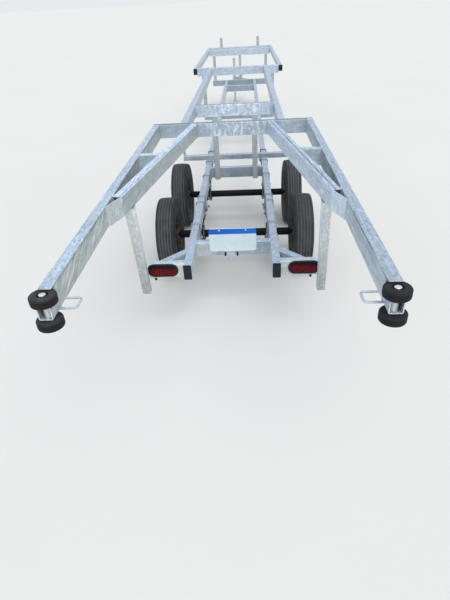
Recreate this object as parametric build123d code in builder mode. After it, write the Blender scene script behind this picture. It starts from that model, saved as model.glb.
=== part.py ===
from build123d import *
import os
from math import atan2, degrees, hypot

os.makedirs("parts", exist_ok=True)

# Boat trailer, millimetres: +X right, +Y forward to the coupler, +Z up, origin on the ground
# under the middle of the bounding box.

# Box section stock
TUBE_W = 50.8
TUBE_H = 101.6
TUBE_R = 6.0
WALL = 4.0
SIDE_H = 76.2
POST = TUBE_W

# Levels
LOW_Z = 389.0
LOW_TOP = LOW_Z + TUBE_H
UP_Z = 974.0
UP_TOP = UP_Z + TUBE_H

# Lower frame
RAIL_X = 280.5
RAIL_IN = RAIL_X - TUBE_W / 2
RAIL_OUT = RAIL_X + TUBE_W / 2
RAIL_REAR = -3728.0
RAIL_FRONT = 3905.0
CAP_T = 5.0
REAR_MEMBER_Y = -3417.0
LADDER_Y = -1781.2
MID_Y = 825.0
FRONT_MEMBER_Y = 3175.0
WING_Y = -3705.0
WING_END = 532.0
MID_END = 505.4
PORTAL_END = 560.0

# Upper frame
ARM_OUT = 616.6
ARM_X = ARM_OUT - TUBE_W / 2
ARM_IN = ARM_OUT - TUBE_W
CROSS_REAR_Y = -2540.0
CROSS_REAR_FRONT = CROSS_REAR_Y + TUBE_W
ARM_END = -4880.0
STUB_END = -4958.0
STUB_H = TUBE_H / 2
INNER_FRONT_X = 295.4
INNER_REAR_X = ARM_IN - 25.8
INNER_REAR_Y = -4062.0
UPPER_RAIL_X = 381.6
CROSS_MID_Y = -1832.0
TIE_Y = -3359.0
SIDE_REAR = 800.0
BAR_TWO_Y = 3425.0
BAR_THREE_Y = RAIL_FRONT

# Rollers
ROLLER_Y = -4935.0
ROLLER_R = 48.0
ROLLER_T = 36.0
ROLLER_EDGE = 7.0
ROLLER_GAP = 5.0
PIN_R = 11.5
PIN_FIT = 0.05
RECESS_R = 17.5
RECESS_DEEP = 6.0
HEAD_R = 13.5

# Wheels and axles
WHEEL_X = 522.0
WHEEL_R = 293.0
TYRE_W = 155.0
TREAD_HALF = 60.0
TREAD_R = WHEEL_R - 4.5
SHOULDER_R = WHEEL_R - 18.0
BULGE_R = WHEEL_R - 52.0
RIM_R = 165.0
RIM_W = 122.0
BEAD_X = RIM_W / 2 - 8.3
AXLE_REAR_Y = -2849.0
AXLE_FRONT_Y = -1961.0
AXLE_R = 30.0
AXLE_HALF = 445.0
SPINDLE_R = 16.0
SPINDLE_END = WHEEL_X + 36.0
SPINDLE_FIT = 0.05

# Springs
SPRING_HALF = 300.0
LEAF_W = 44.0
LEAF_T = 7.0
EYE_Z = 366.0
EYE_R = 13.0
EYE_BORE = 7.0

# lower rails
with BuildPart() as rails_lower:
    with BuildSketch(Plane.XZ.offset(-RAIL_REAR)):
        with Locations((-RAIL_X, LOW_Z + TUBE_H / 2), (RAIL_X, LOW_Z + TUBE_H / 2)):
            RectangleRounded(TUBE_W, TUBE_H, TUBE_R)
    extrude(amount=-(RAIL_FRONT - RAIL_REAR))
rails_lower.part.label = "rails_lower"
export_step(rails_lower.part, "parts/rails_lower.step")

# lower cross members: x start, x end, rear face y
LOWER_MEMBERS = (
    (-RAIL_IN, RAIL_IN, REAR_MEMBER_Y),
    (-RAIL_IN, RAIL_IN, LADDER_Y),
    (-RAIL_IN, RAIL_IN, MID_Y),
    (-MID_END, -RAIL_OUT, MID_Y),
    (RAIL_OUT, MID_END, MID_Y),
    (-RAIL_IN, RAIL_IN, FRONT_MEMBER_Y),
    (-PORTAL_END, PORTAL_END, RAIL_FRONT),
)
with BuildPart() as cross_members_lower:
    for x0, x1, y in LOWER_MEMBERS:
        with BuildSketch(Plane.YZ.offset(x0)):
            with Locations((y + TUBE_W / 2, LOW_Z + TUBE_H / 2)):
                RectangleRounded(TUBE_W, TUBE_H, TUBE_R)
        extrude(amount=x1 - x0)
cross_members_lower.part.label = "cross_members_lower"
export_step(cross_members_lower.part, "parts/cross_members_lower.step")

# lamp wings and their corner braces
with BuildPart() as lamp_wings:
    for side in (-1, 1):
        with BuildSketch(Plane.YZ.offset(RAIL_OUT if side > 0 else -WING_END)):
            with Locations((WING_Y + TUBE_W / 2, LOW_Z + TUBE_H / 2)):
                RectangleRounded(TUBE_W, TUBE_H, TUBE_R)
        extrude(amount=WING_END - RAIL_OUT)
lamp_wings.part.label = "lamp_wings"
export_step(lamp_wings.part, "parts/lamp_wings.step")

BRACE_RAIL_Y = -3497.0
BRACE_WING_X = 460.0
WING_BRACE_SPAN = 72.0
WING_FRONT = WING_Y + TUBE_W
with BuildPart() as wing_braces:
    for side in (-1, 1):
        with BuildSketch(Plane.XY.offset(LOW_Z)):
            with BuildLine():
                Polyline(
                    (side * RAIL_OUT, BRACE_RAIL_Y),
                    (side * BRACE_WING_X, WING_FRONT),
                    (side * (BRACE_WING_X - WING_BRACE_SPAN), WING_FRONT),
                    (side * RAIL_OUT, BRACE_RAIL_Y - WING_BRACE_SPAN),
                    close=True,
                )
            make_face()
        extrude(amount=TUBE_H)
wing_braces.part.label = "wing_braces"
export_step(wing_braces.part, "parts/wing_braces.step")

# outer arms with the roller stub and its closing plate
with BuildPart() as arms_outer:
    for side in (-1, 1):
        with BuildSketch(Plane.XZ.offset(-ARM_END)):
            with Locations((side * ARM_X, UP_Z + TUBE_H / 2)):
                RectangleRounded(TUBE_W, TUBE_H, TUBE_R)
        extrude(amount=-(CROSS_REAR_Y - ARM_END))
        with BuildSketch(Plane.XZ.offset(-STUB_END)):
            with Locations((side * ARM_X, UP_Z + STUB_H / 2)):
                RectangleRounded(TUBE_W, STUB_H, TUBE_R)
                RectangleRounded(TUBE_W - 2 * WALL, STUB_H - 2 * WALL, TUBE_R - WALL, mode=Mode.SUBTRACT)
        extrude(amount=-(ARM_END - STUB_END))
        with BuildSketch(Plane.XY.offset(UP_Z)):
            with Locations((side * ARM_X, ROLLER_Y)):
                Circle(PIN_R)
        extrude(amount=STUB_H, mode=Mode.SUBTRACT)
arms_outer.part.label = "arms_outer"
export_step(arms_outer.part, "parts/arms_outer.step")

# inner arms, splayed from the cross bar back to the outer arms
INNER_RUN = CROSS_REAR_Y - INNER_REAR_Y
INNER_RISE = INNER_REAR_X - INNER_FRONT_X
INNER_LEN = hypot(INNER_RUN, INNER_RISE)
OVERRUN = 60.0
OPEN_END = 320.0
with BuildPart() as arms_inner:
    for side in (-1, 1):
        axis = (side * INNER_RISE / INNER_LEN, -INNER_RUN / INNER_LEN, 0)
        head = (side * INNER_FRONT_X, CROSS_REAR_Y, UP_Z + TUBE_H / 2)
        start = tuple(head[i] - OVERRUN * axis[i] for i in range(3))
        with BuildSketch(Plane(origin=start, x_dir=(axis[1], -axis[0], 0), z_dir=axis)):
            RectangleRounded(TUBE_W, TUBE_H, TUBE_R)
        extrude(amount=INNER_LEN + OVERRUN)
        end = (side * INNER_REAR_X, INNER_REAR_Y, UP_Z + TUBE_H / 2)
        with BuildSketch(Plane(origin=end, x_dir=(axis[1], -axis[0], 0), z_dir=axis)):
            RectangleRounded(TUBE_W - 2 * WALL, TUBE_H - 2 * WALL, TUBE_R - WALL)
        extrude(amount=-OPEN_END, mode=Mode.SUBTRACT)
    with BuildSketch(Plane.XY.offset(UP_Z)):
        with Locations((0, CROSS_REAR_Y + OVERRUN)):
            Rectangle(2 * ARM_IN, 2 * OVERRUN)
        with Locations((-ARM_X, CROSS_REAR_Y - INNER_RUN / 2), (ARM_X, CROSS_REAR_Y - INNER_RUN / 2)):
            Rectangle(TUBE_W, INNER_RUN + 4 * OVERRUN)
    extrude(amount=TUBE_H, mode=Mode.SUBTRACT)
arms_inner.part.label = "arms_inner"
export_step(arms_inner.part, "parts/arms_inner.step")

# gusset plates that close the corner between the two arms
GUSSET_T = 7.0
GUSSET_Y = -4197.0
END_X = TUBE_W / 2 * INNER_RUN / INNER_LEN
END_Y = TUBE_W / 2 * INNER_RISE / INNER_LEN
with BuildPart() as arm_gussets:
    for side in (-1, 1):
        with BuildSketch(Plane.XY.offset(UP_Z)):
            with BuildLine():
                Polyline(
                    (side * (INNER_REAR_X - END_X), INNER_REAR_Y - END_Y),
                    (side * (INNER_REAR_X - END_X + GUSSET_T), INNER_REAR_Y - END_Y * (1 - GUSSET_T / END_X)),
                    (side * ARM_IN, GUSSET_Y + 2.4 * GUSSET_T),
                    (side * ARM_IN, GUSSET_Y),
                    close=True,
                )
            make_face()
        extrude(amount=TUBE_H)
arm_gussets.part.label = "arm_gussets"
export_step(arm_gussets.part, "parts/arm_gussets.step")

# short ties between inner and outer arm
with BuildPart() as arm_ties:
    for side in (-1, 1):
        near = []
        for y in (TIE_Y, TIE_Y + TUBE_W):
            centre = INNER_FRONT_X + (CROSS_REAR_Y - y) * INNER_RISE / INNER_RUN
            near.append(centre + TUBE_W / 2 * INNER_LEN / INNER_RUN)
        with BuildSketch(Plane.XY.offset(UP_Z)):
            with BuildLine():
                Polyline(
                    (side * near[0], TIE_Y),
                    (side * ARM_IN, TIE_Y),
                    (side * ARM_IN, TIE_Y + TUBE_W),
                    (side * near[1], TIE_Y + TUBE_W),
                    close=True,
                )
            make_face()
        extrude(amount=TUBE_H)
arm_ties.part.label = "arm_ties"
export_step(arm_ties.part, "parts/arm_ties.step")

# rear legs: open square tubes that lean from the lamp wing back up to the inner arm
LEG_W = 63.5
LEG_FOOT_X = 570.0
LEG_FOOT_Y = -3676.0
LEG_FOOT_Z = 270.0
LEG_HEAD_X = 517.0
LEG_HEAD_Y = -3950.0
LEG_FOOT = (LEG_FOOT_X, LEG_FOOT_Y, LEG_FOOT_Z)
LEG_HEAD = (LEG_HEAD_X, LEG_HEAD_Y, UP_Z)
leg_vector = tuple(LEG_HEAD[i] - LEG_FOOT[i] for i in range(3))
leg_length = hypot(*leg_vector)
with BuildPart() as rear_legs:
    for side in (-1, 1):
        axis = (side * leg_vector[0] / leg_length, leg_vector[1] / leg_length, leg_vector[2] / leg_length)
        foot = (side * LEG_FOOT_X, LEG_FOOT_Y, LEG_FOOT_Z)
        start = tuple(foot[i] - OVERRUN * axis[i] for i in range(3))
        with BuildSketch(Plane(origin=start, x_dir=(1, 0, -axis[0] / axis[2]), z_dir=axis)):
            RectangleRounded(LEG_W, POST, TUBE_R)
            RectangleRounded(LEG_W - 2 * WALL, POST - 2 * WALL, TUBE_R - WALL, mode=Mode.SUBTRACT)
        extrude(amount=leg_length + 2 * OVERRUN)
    with BuildSketch(Plane.XY.offset(LEG_FOOT_Z - 3 * OVERRUN)):
        with Locations((0, LEG_FOOT_Y)):
            Rectangle(4 * LEG_FOOT_X, 8 * POST)
    extrude(amount=3 * OVERRUN, mode=Mode.SUBTRACT)
    with BuildSketch(Plane.XY.offset(UP_Z)):
        with Locations((0, LEG_HEAD_Y)):
            Rectangle(4 * LEG_FOOT_X, 8 * POST)
    extrude(amount=3 * OVERRUN, mode=Mode.SUBTRACT)
    with BuildSketch(Plane.XY.offset(LOW_Z)):
        with Locations((0, WING_Y + TUBE_W / 2)):
            Rectangle(4 * LEG_FOOT_X, TUBE_W)
    extrude(amount=TUBE_H, mode=Mode.SUBTRACT)
rear_legs.part.label = "rear_legs"
export_step(rear_legs.part, "parts/rear_legs.step")

# upper cross bars: half length, rear face y
CROSS_BARS = ((ARM_OUT, CROSS_REAR_Y), (UPPER_RAIL_X - TUBE_W / 2, CROSS_MID_Y))
with BuildPart() as cross_bars_upper:
    for half, y in CROSS_BARS:
        with BuildSketch(Plane.YZ.offset(-half)):
            with Locations((y + TUBE_W / 2, UP_Z + TUBE_H / 2)):
                RectangleRounded(TUBE_W, TUBE_H, TUBE_R)
        extrude(amount=2 * half)
cross_bars_upper.part.label = "cross_bars_upper"
export_step(cross_bars_upper.part, "parts/cross_bars_upper.step")

# upper rails
with BuildPart() as rails_upper:
    with BuildSketch(Plane.XZ.offset(-CROSS_REAR_FRONT)):
        with Locations((-UPPER_RAIL_X, UP_Z + TUBE_H / 2), (UPPER_RAIL_X, UP_Z + TUBE_H / 2)):
            RectangleRounded(TUBE_W, TUBE_H, TUBE_R)
    extrude(amount=-(MID_Y - CROSS_REAR_FRONT))
rails_upper.part.label = "rails_upper"
export_step(rails_upper.part, "parts/rails_upper.step")

# front platform
with BuildPart() as platform_sides:
    with BuildSketch(Plane.XZ.offset(-SIDE_REAR)):
        with Locations((-ARM_X, UP_TOP - SIDE_H / 2), (ARM_X, UP_TOP - SIDE_H / 2)):
            RectangleRounded(TUBE_W, SIDE_H, TUBE_R)
    extrude(amount=-(BAR_THREE_Y + TUBE_W - SIDE_REAR))
platform_sides.part.label = "platform_sides"
export_step(platform_sides.part, "parts/platform_sides.step")

with BuildPart() as platform_bars:
    with BuildSketch(Plane.YZ.offset(-ARM_IN)):
        for y in (MID_Y, BAR_TWO_Y, BAR_THREE_Y):
            with Locations((y + TUBE_W / 2, UP_Z + TUBE_H / 2)):
                RectangleRounded(TUBE_W, TUBE_H, TUBE_R)
    extrude(amount=2 * ARM_IN)
platform_bars.part.label = "platform_bars"
export_step(platform_bars.part, "parts/platform_bars.step")

# posts between the two frames: x, rear face y, foot z
LADDER_X = 183.0
MID_POST_X = 480.0
PORTAL_POST_X = 508.0
POSTS = (
    (-LADDER_X, CROSS_MID_Y, LOW_Z),
    (LADDER_X, CROSS_MID_Y, LOW_Z),
    (-MID_POST_X, MID_Y, LOW_TOP),
    (MID_POST_X, MID_Y, LOW_TOP),
    (-PORTAL_POST_X, BAR_THREE_Y, LOW_TOP),
    (0, BAR_THREE_Y, LOW_TOP),
    (PORTAL_POST_X, BAR_THREE_Y, LOW_TOP),
)
with BuildPart() as posts:
    for x, y, z in POSTS:
        with BuildSketch(Plane.XY.offset(z)):
            with Locations((x, y + POST / 2)):
                RectangleRounded(POST, POST, TUBE_R)
        extrude(amount=UP_Z - z)
posts.part.label = "posts"
export_step(posts.part, "parts/posts.step")

# stop posts on the foremost bar
STOP_POST_X = 355.0
STOP_TOP = 1235.0
with BuildPart() as stop_posts:
    with BuildSketch(Plane.XY.offset(UP_TOP)):
        with Locations((-STOP_POST_X, BAR_THREE_Y + POST / 2), (STOP_POST_X, BAR_THREE_Y + POST / 2)):
            RectangleRounded(POST, POST, TUBE_R)
    extrude(amount=STOP_TOP - UP_TOP)
stop_posts.part.label = "stop_posts"
export_step(stop_posts.part, "parts/stop_posts.step")

# outrigger across the rails with a thin upright at each end
OUTRIGGER_Y = -1525.0
OUTRIGGER_END = 545.0
UPRIGHT = 22.0
UPRIGHT_H = 150.0
with BuildPart() as outrigger:
    with BuildSketch(Plane.YZ.offset(-OUTRIGGER_END)):
        with Locations((OUTRIGGER_Y + POST / 2, LOW_TOP + POST / 2)):
            RectangleRounded(POST, POST, TUBE_R)
    extrude(amount=2 * OUTRIGGER_END)
    with BuildSketch(Plane.XY.offset(LOW_TOP + POST)):
        with Locations((-OUTRIGGER_END + UPRIGHT / 2, OUTRIGGER_Y + POST / 2)):
            Rectangle(UPRIGHT, UPRIGHT)
        with Locations((OUTRIGGER_END - UPRIGHT / 2, OUTRIGGER_Y + POST / 2)):
            Rectangle(UPRIGHT, UPRIGHT)
    extrude(amount=UPRIGHT_H)
outrigger.part.label = "outrigger"
export_step(outrigger.part, "parts/outrigger.step")

# tongue, its braces and the coupler
TONGUE_REAR = BAR_THREE_Y + TUBE_W
TONGUE_FRONT = 4760.0
TONGUE_W = 76.2
with BuildPart() as tongue:
    with BuildSketch(Plane.XZ.offset(-TONGUE_REAR)):
        with Locations((0, LOW_Z + TUBE_H / 2)):
            RectangleRounded(TONGUE_W, TUBE_H, TUBE_R)
    extrude(amount=-(TONGUE_FRONT - TONGUE_REAR))
tongue.part.label = "tongue"
export_step(tongue.part, "parts/tongue.step")

BRACE_FOOT_X = 330.0
BRACE_HEAD_Y = 4310.0
BRACE_SPAN = 62.0
BRACE_HEAD = 75.0
with BuildPart() as tongue_braces:
    for side in (-1, 1):
        with BuildSketch(Plane.XY.offset(LOW_Z)):
            with BuildLine():
                Polyline(
                    (side * BRACE_FOOT_X, TONGUE_REAR),
                    (side * TONGUE_W / 2, BRACE_HEAD_Y),
                    (side * TONGUE_W / 2, BRACE_HEAD_Y - BRACE_HEAD),
                    (side * (BRACE_FOOT_X - BRACE_SPAN), TONGUE_REAR),
                    close=True,
                )
            make_face()
        extrude(amount=SIDE_H)
tongue_braces.part.label = "tongue_braces"
export_step(tongue_braces.part, "parts/tongue_braces.step")

BALL_Y = 4937.0
NOSE_R = 46.0
NOSE_HALF = 36.0
COUPLER_REAR = TONGUE_FRONT - 160.0
COUPLER_SHOULDER = TONGUE_FRONT + 30.0
COUPLER_NECK = BALL_Y - 50.0
COUPLER_FLANGE = 10.0
COUPLER_DEEP = 42.0
SOCKET_DEEP = 22.0
BALL_R = 25.4
BALL_FIT = 0.8
COUPLER_Z = LOW_Z + TUBE_H
# layers of the coupler: rear end, underside, thickness
COUPLER_LAYERS = (
    (COUPLER_REAR, COUPLER_Z, COUPLER_FLANGE),
    (TONGUE_FRONT, COUPLER_Z - COUPLER_DEEP, COUPLER_DEEP),
)
with BuildPart() as coupler:
    for rear, low, tall in COUPLER_LAYERS:
        with BuildSketch(Plane.XY.offset(low)):
            with BuildLine():
                Polyline(
                    (NOSE_HALF, BALL_Y),
                    (NOSE_HALF, COUPLER_NECK),
                    (TONGUE_W / 2, COUPLER_SHOULDER),
                    (TONGUE_W / 2, rear),
                    (-TONGUE_W / 2, rear),
                    (-TONGUE_W / 2, COUPLER_SHOULDER),
                    (-NOSE_HALF, COUPLER_NECK),
                    (-NOSE_HALF, BALL_Y),
                )
                ThreePointArc((-NOSE_HALF, BALL_Y), (0, BALL_Y + NOSE_R), (NOSE_HALF, BALL_Y))
            make_face()
        extrude(amount=tall)
    with BuildSketch(Plane.XY.offset(COUPLER_Z - COUPLER_DEEP)):
        with Locations((0, BALL_Y)):
            Circle(BALL_R + BALL_FIT)
    extrude(amount=SOCKET_DEEP, mode=Mode.SUBTRACT)
    with Locations((0, BALL_Y, COUPLER_Z - COUPLER_DEEP + SOCKET_DEEP)):
        Sphere(BALL_R + BALL_FIT, mode=Mode.SUBTRACT)
coupler.part.label = "coupler"
export_step(coupler.part, "parts/coupler.step")

# jack beside the tongue: fixed outer tube with bracket, sliding leg with foot
JACK_X = -130.0
JACK_Y = 4405.0
JACK_TOP = 835.0
JACK_LOW = 330.0
JACK_R = 28.5
LEG_R = 24.0
LEG_FIT = 0.3
FOOT_R = 75.0
FOOT_T = 8.0
LEG_TOP = 540.0
JACK_TRAVEL = 250.0
JACK_CAP = 22.0
JACK_CAP_R = JACK_R + 6.0
BRACKET_W = 76.0
BRACKET_IN = 8.0
with BuildPart() as jack_tube:
    with BuildSketch(Plane.XY.offset(JACK_LOW)):
        with Locations((JACK_X, JACK_Y)):
            Circle(JACK_R)
    extrude(amount=JACK_TOP - JACK_CAP - JACK_LOW)
    with BuildSketch(Plane.XY.offset(JACK_LOW)):
        with Locations((JACK_X, JACK_Y)):
            Circle(LEG_R + LEG_FIT)
    extrude(amount=LEG_TOP + JACK_TRAVEL + 10 - JACK_LOW, mode=Mode.SUBTRACT)
    with BuildSketch(Plane.XY.offset(JACK_TOP - JACK_CAP)):
        with Locations((JACK_X, JACK_Y)):
            Circle(JACK_CAP_R)
    extrude(amount=JACK_CAP)
    with BuildSketch(Plane.XY.offset(LOW_Z + BRACKET_IN)):
        with Locations(((JACK_X - TONGUE_W / 2) / 2, JACK_Y)):
            Rectangle(-JACK_X - TONGUE_W / 2, BRACKET_W)
        with Locations((JACK_X, JACK_Y)):
            Circle(JACK_R + BRACKET_IN)
            Circle(JACK_R - 1, mode=Mode.SUBTRACT)
    extrude(amount=TUBE_H - 2 * BRACKET_IN)
jack_tube.part.label = "jack_tube"
export_step(jack_tube.part, "parts/jack_tube.step")

with BuildPart() as jack_leg:
    with BuildSketch(Plane.XY.offset(FOOT_T)):
        with Locations((JACK_X, JACK_Y)):
            Circle(LEG_R)
    extrude(amount=LEG_TOP - FOOT_T)
    with BuildSketch(Plane.XY):
        with Locations((JACK_X, JACK_Y)):
            Circle(FOOT_R)
    extrude(amount=FOOT_T)
jack_leg.part.label = "jack_leg"
export_step(jack_leg.part, "parts/jack_leg.step")

# axles
with BuildPart() as axles:
    for y in (AXLE_REAR_Y, AXLE_FRONT_Y):
        for radius, half in ((AXLE_R, AXLE_HALF), (SPINDLE_R, SPINDLE_END)):
            with BuildSketch(Plane.YZ.offset(-half)):
                with Locations((y, WHEEL_R)):
                    Circle(radius)
            extrude(amount=2 * half)
axles.part.label = "axles"
export_step(axles.part, "parts/axles.step")

# leaf springs with rolled eyes: leaf half length, number down the pack
SPRING_Z = WHEEL_R + AXLE_R
LEAVES = ((300.0, 3), (225.0, 2), (155.0, 1), (85.0, 0))
with BuildPart() as leaf_springs:
    for side in (-1, 1):
        for y in (AXLE_REAR_Y, AXLE_FRONT_Y):
            with BuildSketch(Plane.YZ.offset(side * RAIL_X - LEAF_W / 2)):
                for half, step in LEAVES:
                    sag = 3.0 * (half / SPRING_HALF) ** 2
                    low = SPRING_Z + step * LEAF_T
                    with BuildLine():
                        ThreePointArc((y - half, low + sag), (y, low), (y + half, low + sag))
                        Line((y + half, low + sag), (y + half, low + sag + LEAF_T))
                        ThreePointArc(
                            (y + half, low + sag + LEAF_T),
                            (y, low + LEAF_T),
                            (y - half, low + sag + LEAF_T),
                        )
                        Line((y - half, low + sag + LEAF_T), (y - half, low + sag))
                    make_face()
                with Locations((y - SPRING_HALF, EYE_Z), (y + SPRING_HALF, EYE_Z)):
                    Circle(EYE_R)
                    Circle(EYE_BORE, mode=Mode.SUBTRACT)
            extrude(amount=LEAF_W)
leaf_springs.part.label = "leaf_springs"
export_step(leaf_springs.part, "parts/leaf_springs.step")

# spring hangers: y, cheek depth below the rail
HANGERS = (
    (AXLE_REAR_Y - SPRING_HALF, 42.0),
    ((AXLE_REAR_Y + AXLE_FRONT_Y) / 2, 62.0),
    (AXLE_FRONT_Y + SPRING_HALF, 42.0),
)
CHEEK_T = 5.0
CHEEK_GAP = 0.5
EQ_Z = 344.0
EQ_PIN_R = 9.0
with BuildPart() as spring_hangers:
    for side in (-1, 1):
        for y, deep in HANGERS:
            for hand in (-1, 1):
                offset = side * RAIL_X + hand * (LEAF_W / 2 + CHEEK_GAP + CHEEK_T / 2) - CHEEK_T / 2
                with BuildSketch(Plane.YZ.offset(offset)):
                    with BuildLine():
                        Polyline(
                            (y - 38, LOW_Z),
                            (y - 18, LOW_Z - deep),
                            (y + 18, LOW_Z - deep),
                            (y + 38, LOW_Z),
                            close=True,
                        )
                    make_face()
                extrude(amount=CHEEK_T)
            with BuildSketch(Plane.XY.offset(LOW_Z - 4)):
                with Locations((side * RAIL_X, y)):
                    Rectangle(LEAF_W + 2 * CHEEK_GAP + 2 * CHEEK_T, 90)
            extrude(amount=4)
            pin_z = EQ_Z if deep > 50 else EYE_Z
            pin_r = EQ_PIN_R if deep > 50 else EYE_BORE
            with BuildSketch(Plane.YZ.offset(side * RAIL_X - LEAF_W / 2 - CHEEK_GAP - CHEEK_T - 6)):
                with Locations((y, pin_z)):
                    Circle(pin_r - 0.1)
            extrude(amount=LEAF_W + 2 * CHEEK_GAP + 2 * CHEEK_T + 12)
spring_hangers.part.label = "spring_hangers"
export_step(spring_hangers.part, "parts/spring_hangers.step")

# equalisers between the two springs of each side
EQ_Y = (AXLE_REAR_Y + AXLE_FRONT_Y) / 2
EQ_HALF = EQ_Y - (AXLE_REAR_Y + SPRING_HALF)
with BuildPart() as equalisers:
    for side in (-1, 1):
        with BuildSketch(Plane.YZ.offset(side * RAIL_X - 16)):
            with BuildLine():
                Polyline(
                    (EQ_Y - EQ_HALF + 26, EYE_Z - 9),
                    (EQ_Y - 20, EQ_Z - 15),
                    (EQ_Y + 20, EQ_Z - 15),
                    (EQ_Y + EQ_HALF - 26, EYE_Z - 9),
                    (EQ_Y + EQ_HALF - 26, EYE_Z + 7),
                    (EQ_Y + 20, EQ_Z + 16),
                    (EQ_Y - 20, EQ_Z + 16),
                    (EQ_Y - EQ_HALF + 26, EYE_Z + 7),
                    close=True,
                )
            make_face()
            with Locations((EQ_Y, EQ_Z)):
                Circle(EQ_PIN_R, mode=Mode.SUBTRACT)
        extrude(amount=32)
        for hand in (-1, 1):
            with BuildSketch(Plane.YZ.offset(side * RAIL_X + hand * (LEAF_W / 2 + 3) - 2.5)):
                for end in (-1, 1):
                    with BuildLine():
                        Polyline(
                            (EQ_Y + end * (EQ_HALF - 44), EYE_Z - 11),
                            (EQ_Y + end * (EQ_HALF + 13), EYE_Z - 11),
                            (EQ_Y + end * (EQ_HALF + 13), EYE_Z + 11),
                            (EQ_Y + end * (EQ_HALF - 44), EYE_Z + 11),
                            close=True,
                        )
                    make_face()
            extrude(amount=5)
        with BuildSketch(Plane.YZ.offset(side * RAIL_X - LEAF_W / 2 - 5.5)):
            for end in (-1, 1):
                with Locations((EQ_Y + end * EQ_HALF, EYE_Z)):
                    Circle(EYE_BORE - 0.1)
                with Locations((EQ_Y + end * (EQ_HALF - 34), EYE_Z)):
                    Circle(7)
        extrude(amount=LEAF_W + 11)
equalisers.part.label = "equalisers"
export_step(equalisers.part, "parts/equalisers.step")

# axle clamps: plate under the axle and two bolts bent over the spring
with BuildPart() as axle_clamps:
    for side in (-1, 1):
        for y in (AXLE_REAR_Y, AXLE_FRONT_Y):
            with BuildSketch(Plane.XY.offset(WHEEL_R - AXLE_R - 9)):
                with Locations((side * RAIL_X, y)):
                    Rectangle(84, 110)
            extrude(amount=9)
            top = SPRING_Z + 4 * LEAF_T
            for step in (-AXLE_R - 7, AXLE_R + 7):
                with BuildSketch(Plane.XZ.offset(-(y + step - 5))):
                    with Locations((side * RAIL_X - LEAF_W / 2 - 6, (WHEEL_R - AXLE_R + top + 10) / 2)):
                        Rectangle(10, top + 10 - WHEEL_R + AXLE_R)
                    with Locations((side * RAIL_X + LEAF_W / 2 + 6, (WHEEL_R - AXLE_R + top + 10) / 2)):
                        Rectangle(10, top + 10 - WHEEL_R + AXLE_R)
                    with Locations((side * RAIL_X, top + 5.5)):
                        Rectangle(LEAF_W + 22, 9)
                extrude(amount=-10)
axle_clamps.part.label = "axle_clamps"
export_step(axle_clamps.part, "parts/axle_clamps.step")

# straps bent over the lower rails
STRAP_YS = (-3115.0, -2685.0, -2550.0, -2005.0, -1575.0, -1220.0)
STRAP_W = 12.0
STRAP_T = 5.0
with BuildPart() as rail_straps:
    for y in STRAP_YS:
        with BuildSketch(Plane.XZ.offset(-y)):
            for side in (-1, 1):
                with Locations((side * RAIL_X, LOW_Z + TUBE_H / 2)):
                    RectangleRounded(TUBE_W + 2 * STRAP_T, TUBE_H + 2 * STRAP_T, TUBE_R + STRAP_T)
                with Locations((side * RAIL_X, LOW_Z + TUBE_H / 2)):
                    RectangleRounded(TUBE_W, TUBE_H, TUBE_R, mode=Mode.SUBTRACT)
                with Locations((side * RAIL_X, LOW_Z)):
                    Rectangle(TUBE_W + 30, 20, mode=Mode.SUBTRACT)
        extrude(amount=-STRAP_W)
rail_straps.part.label = "rail_straps"
export_step(rail_straps.part, "parts/rail_straps.step")

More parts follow.
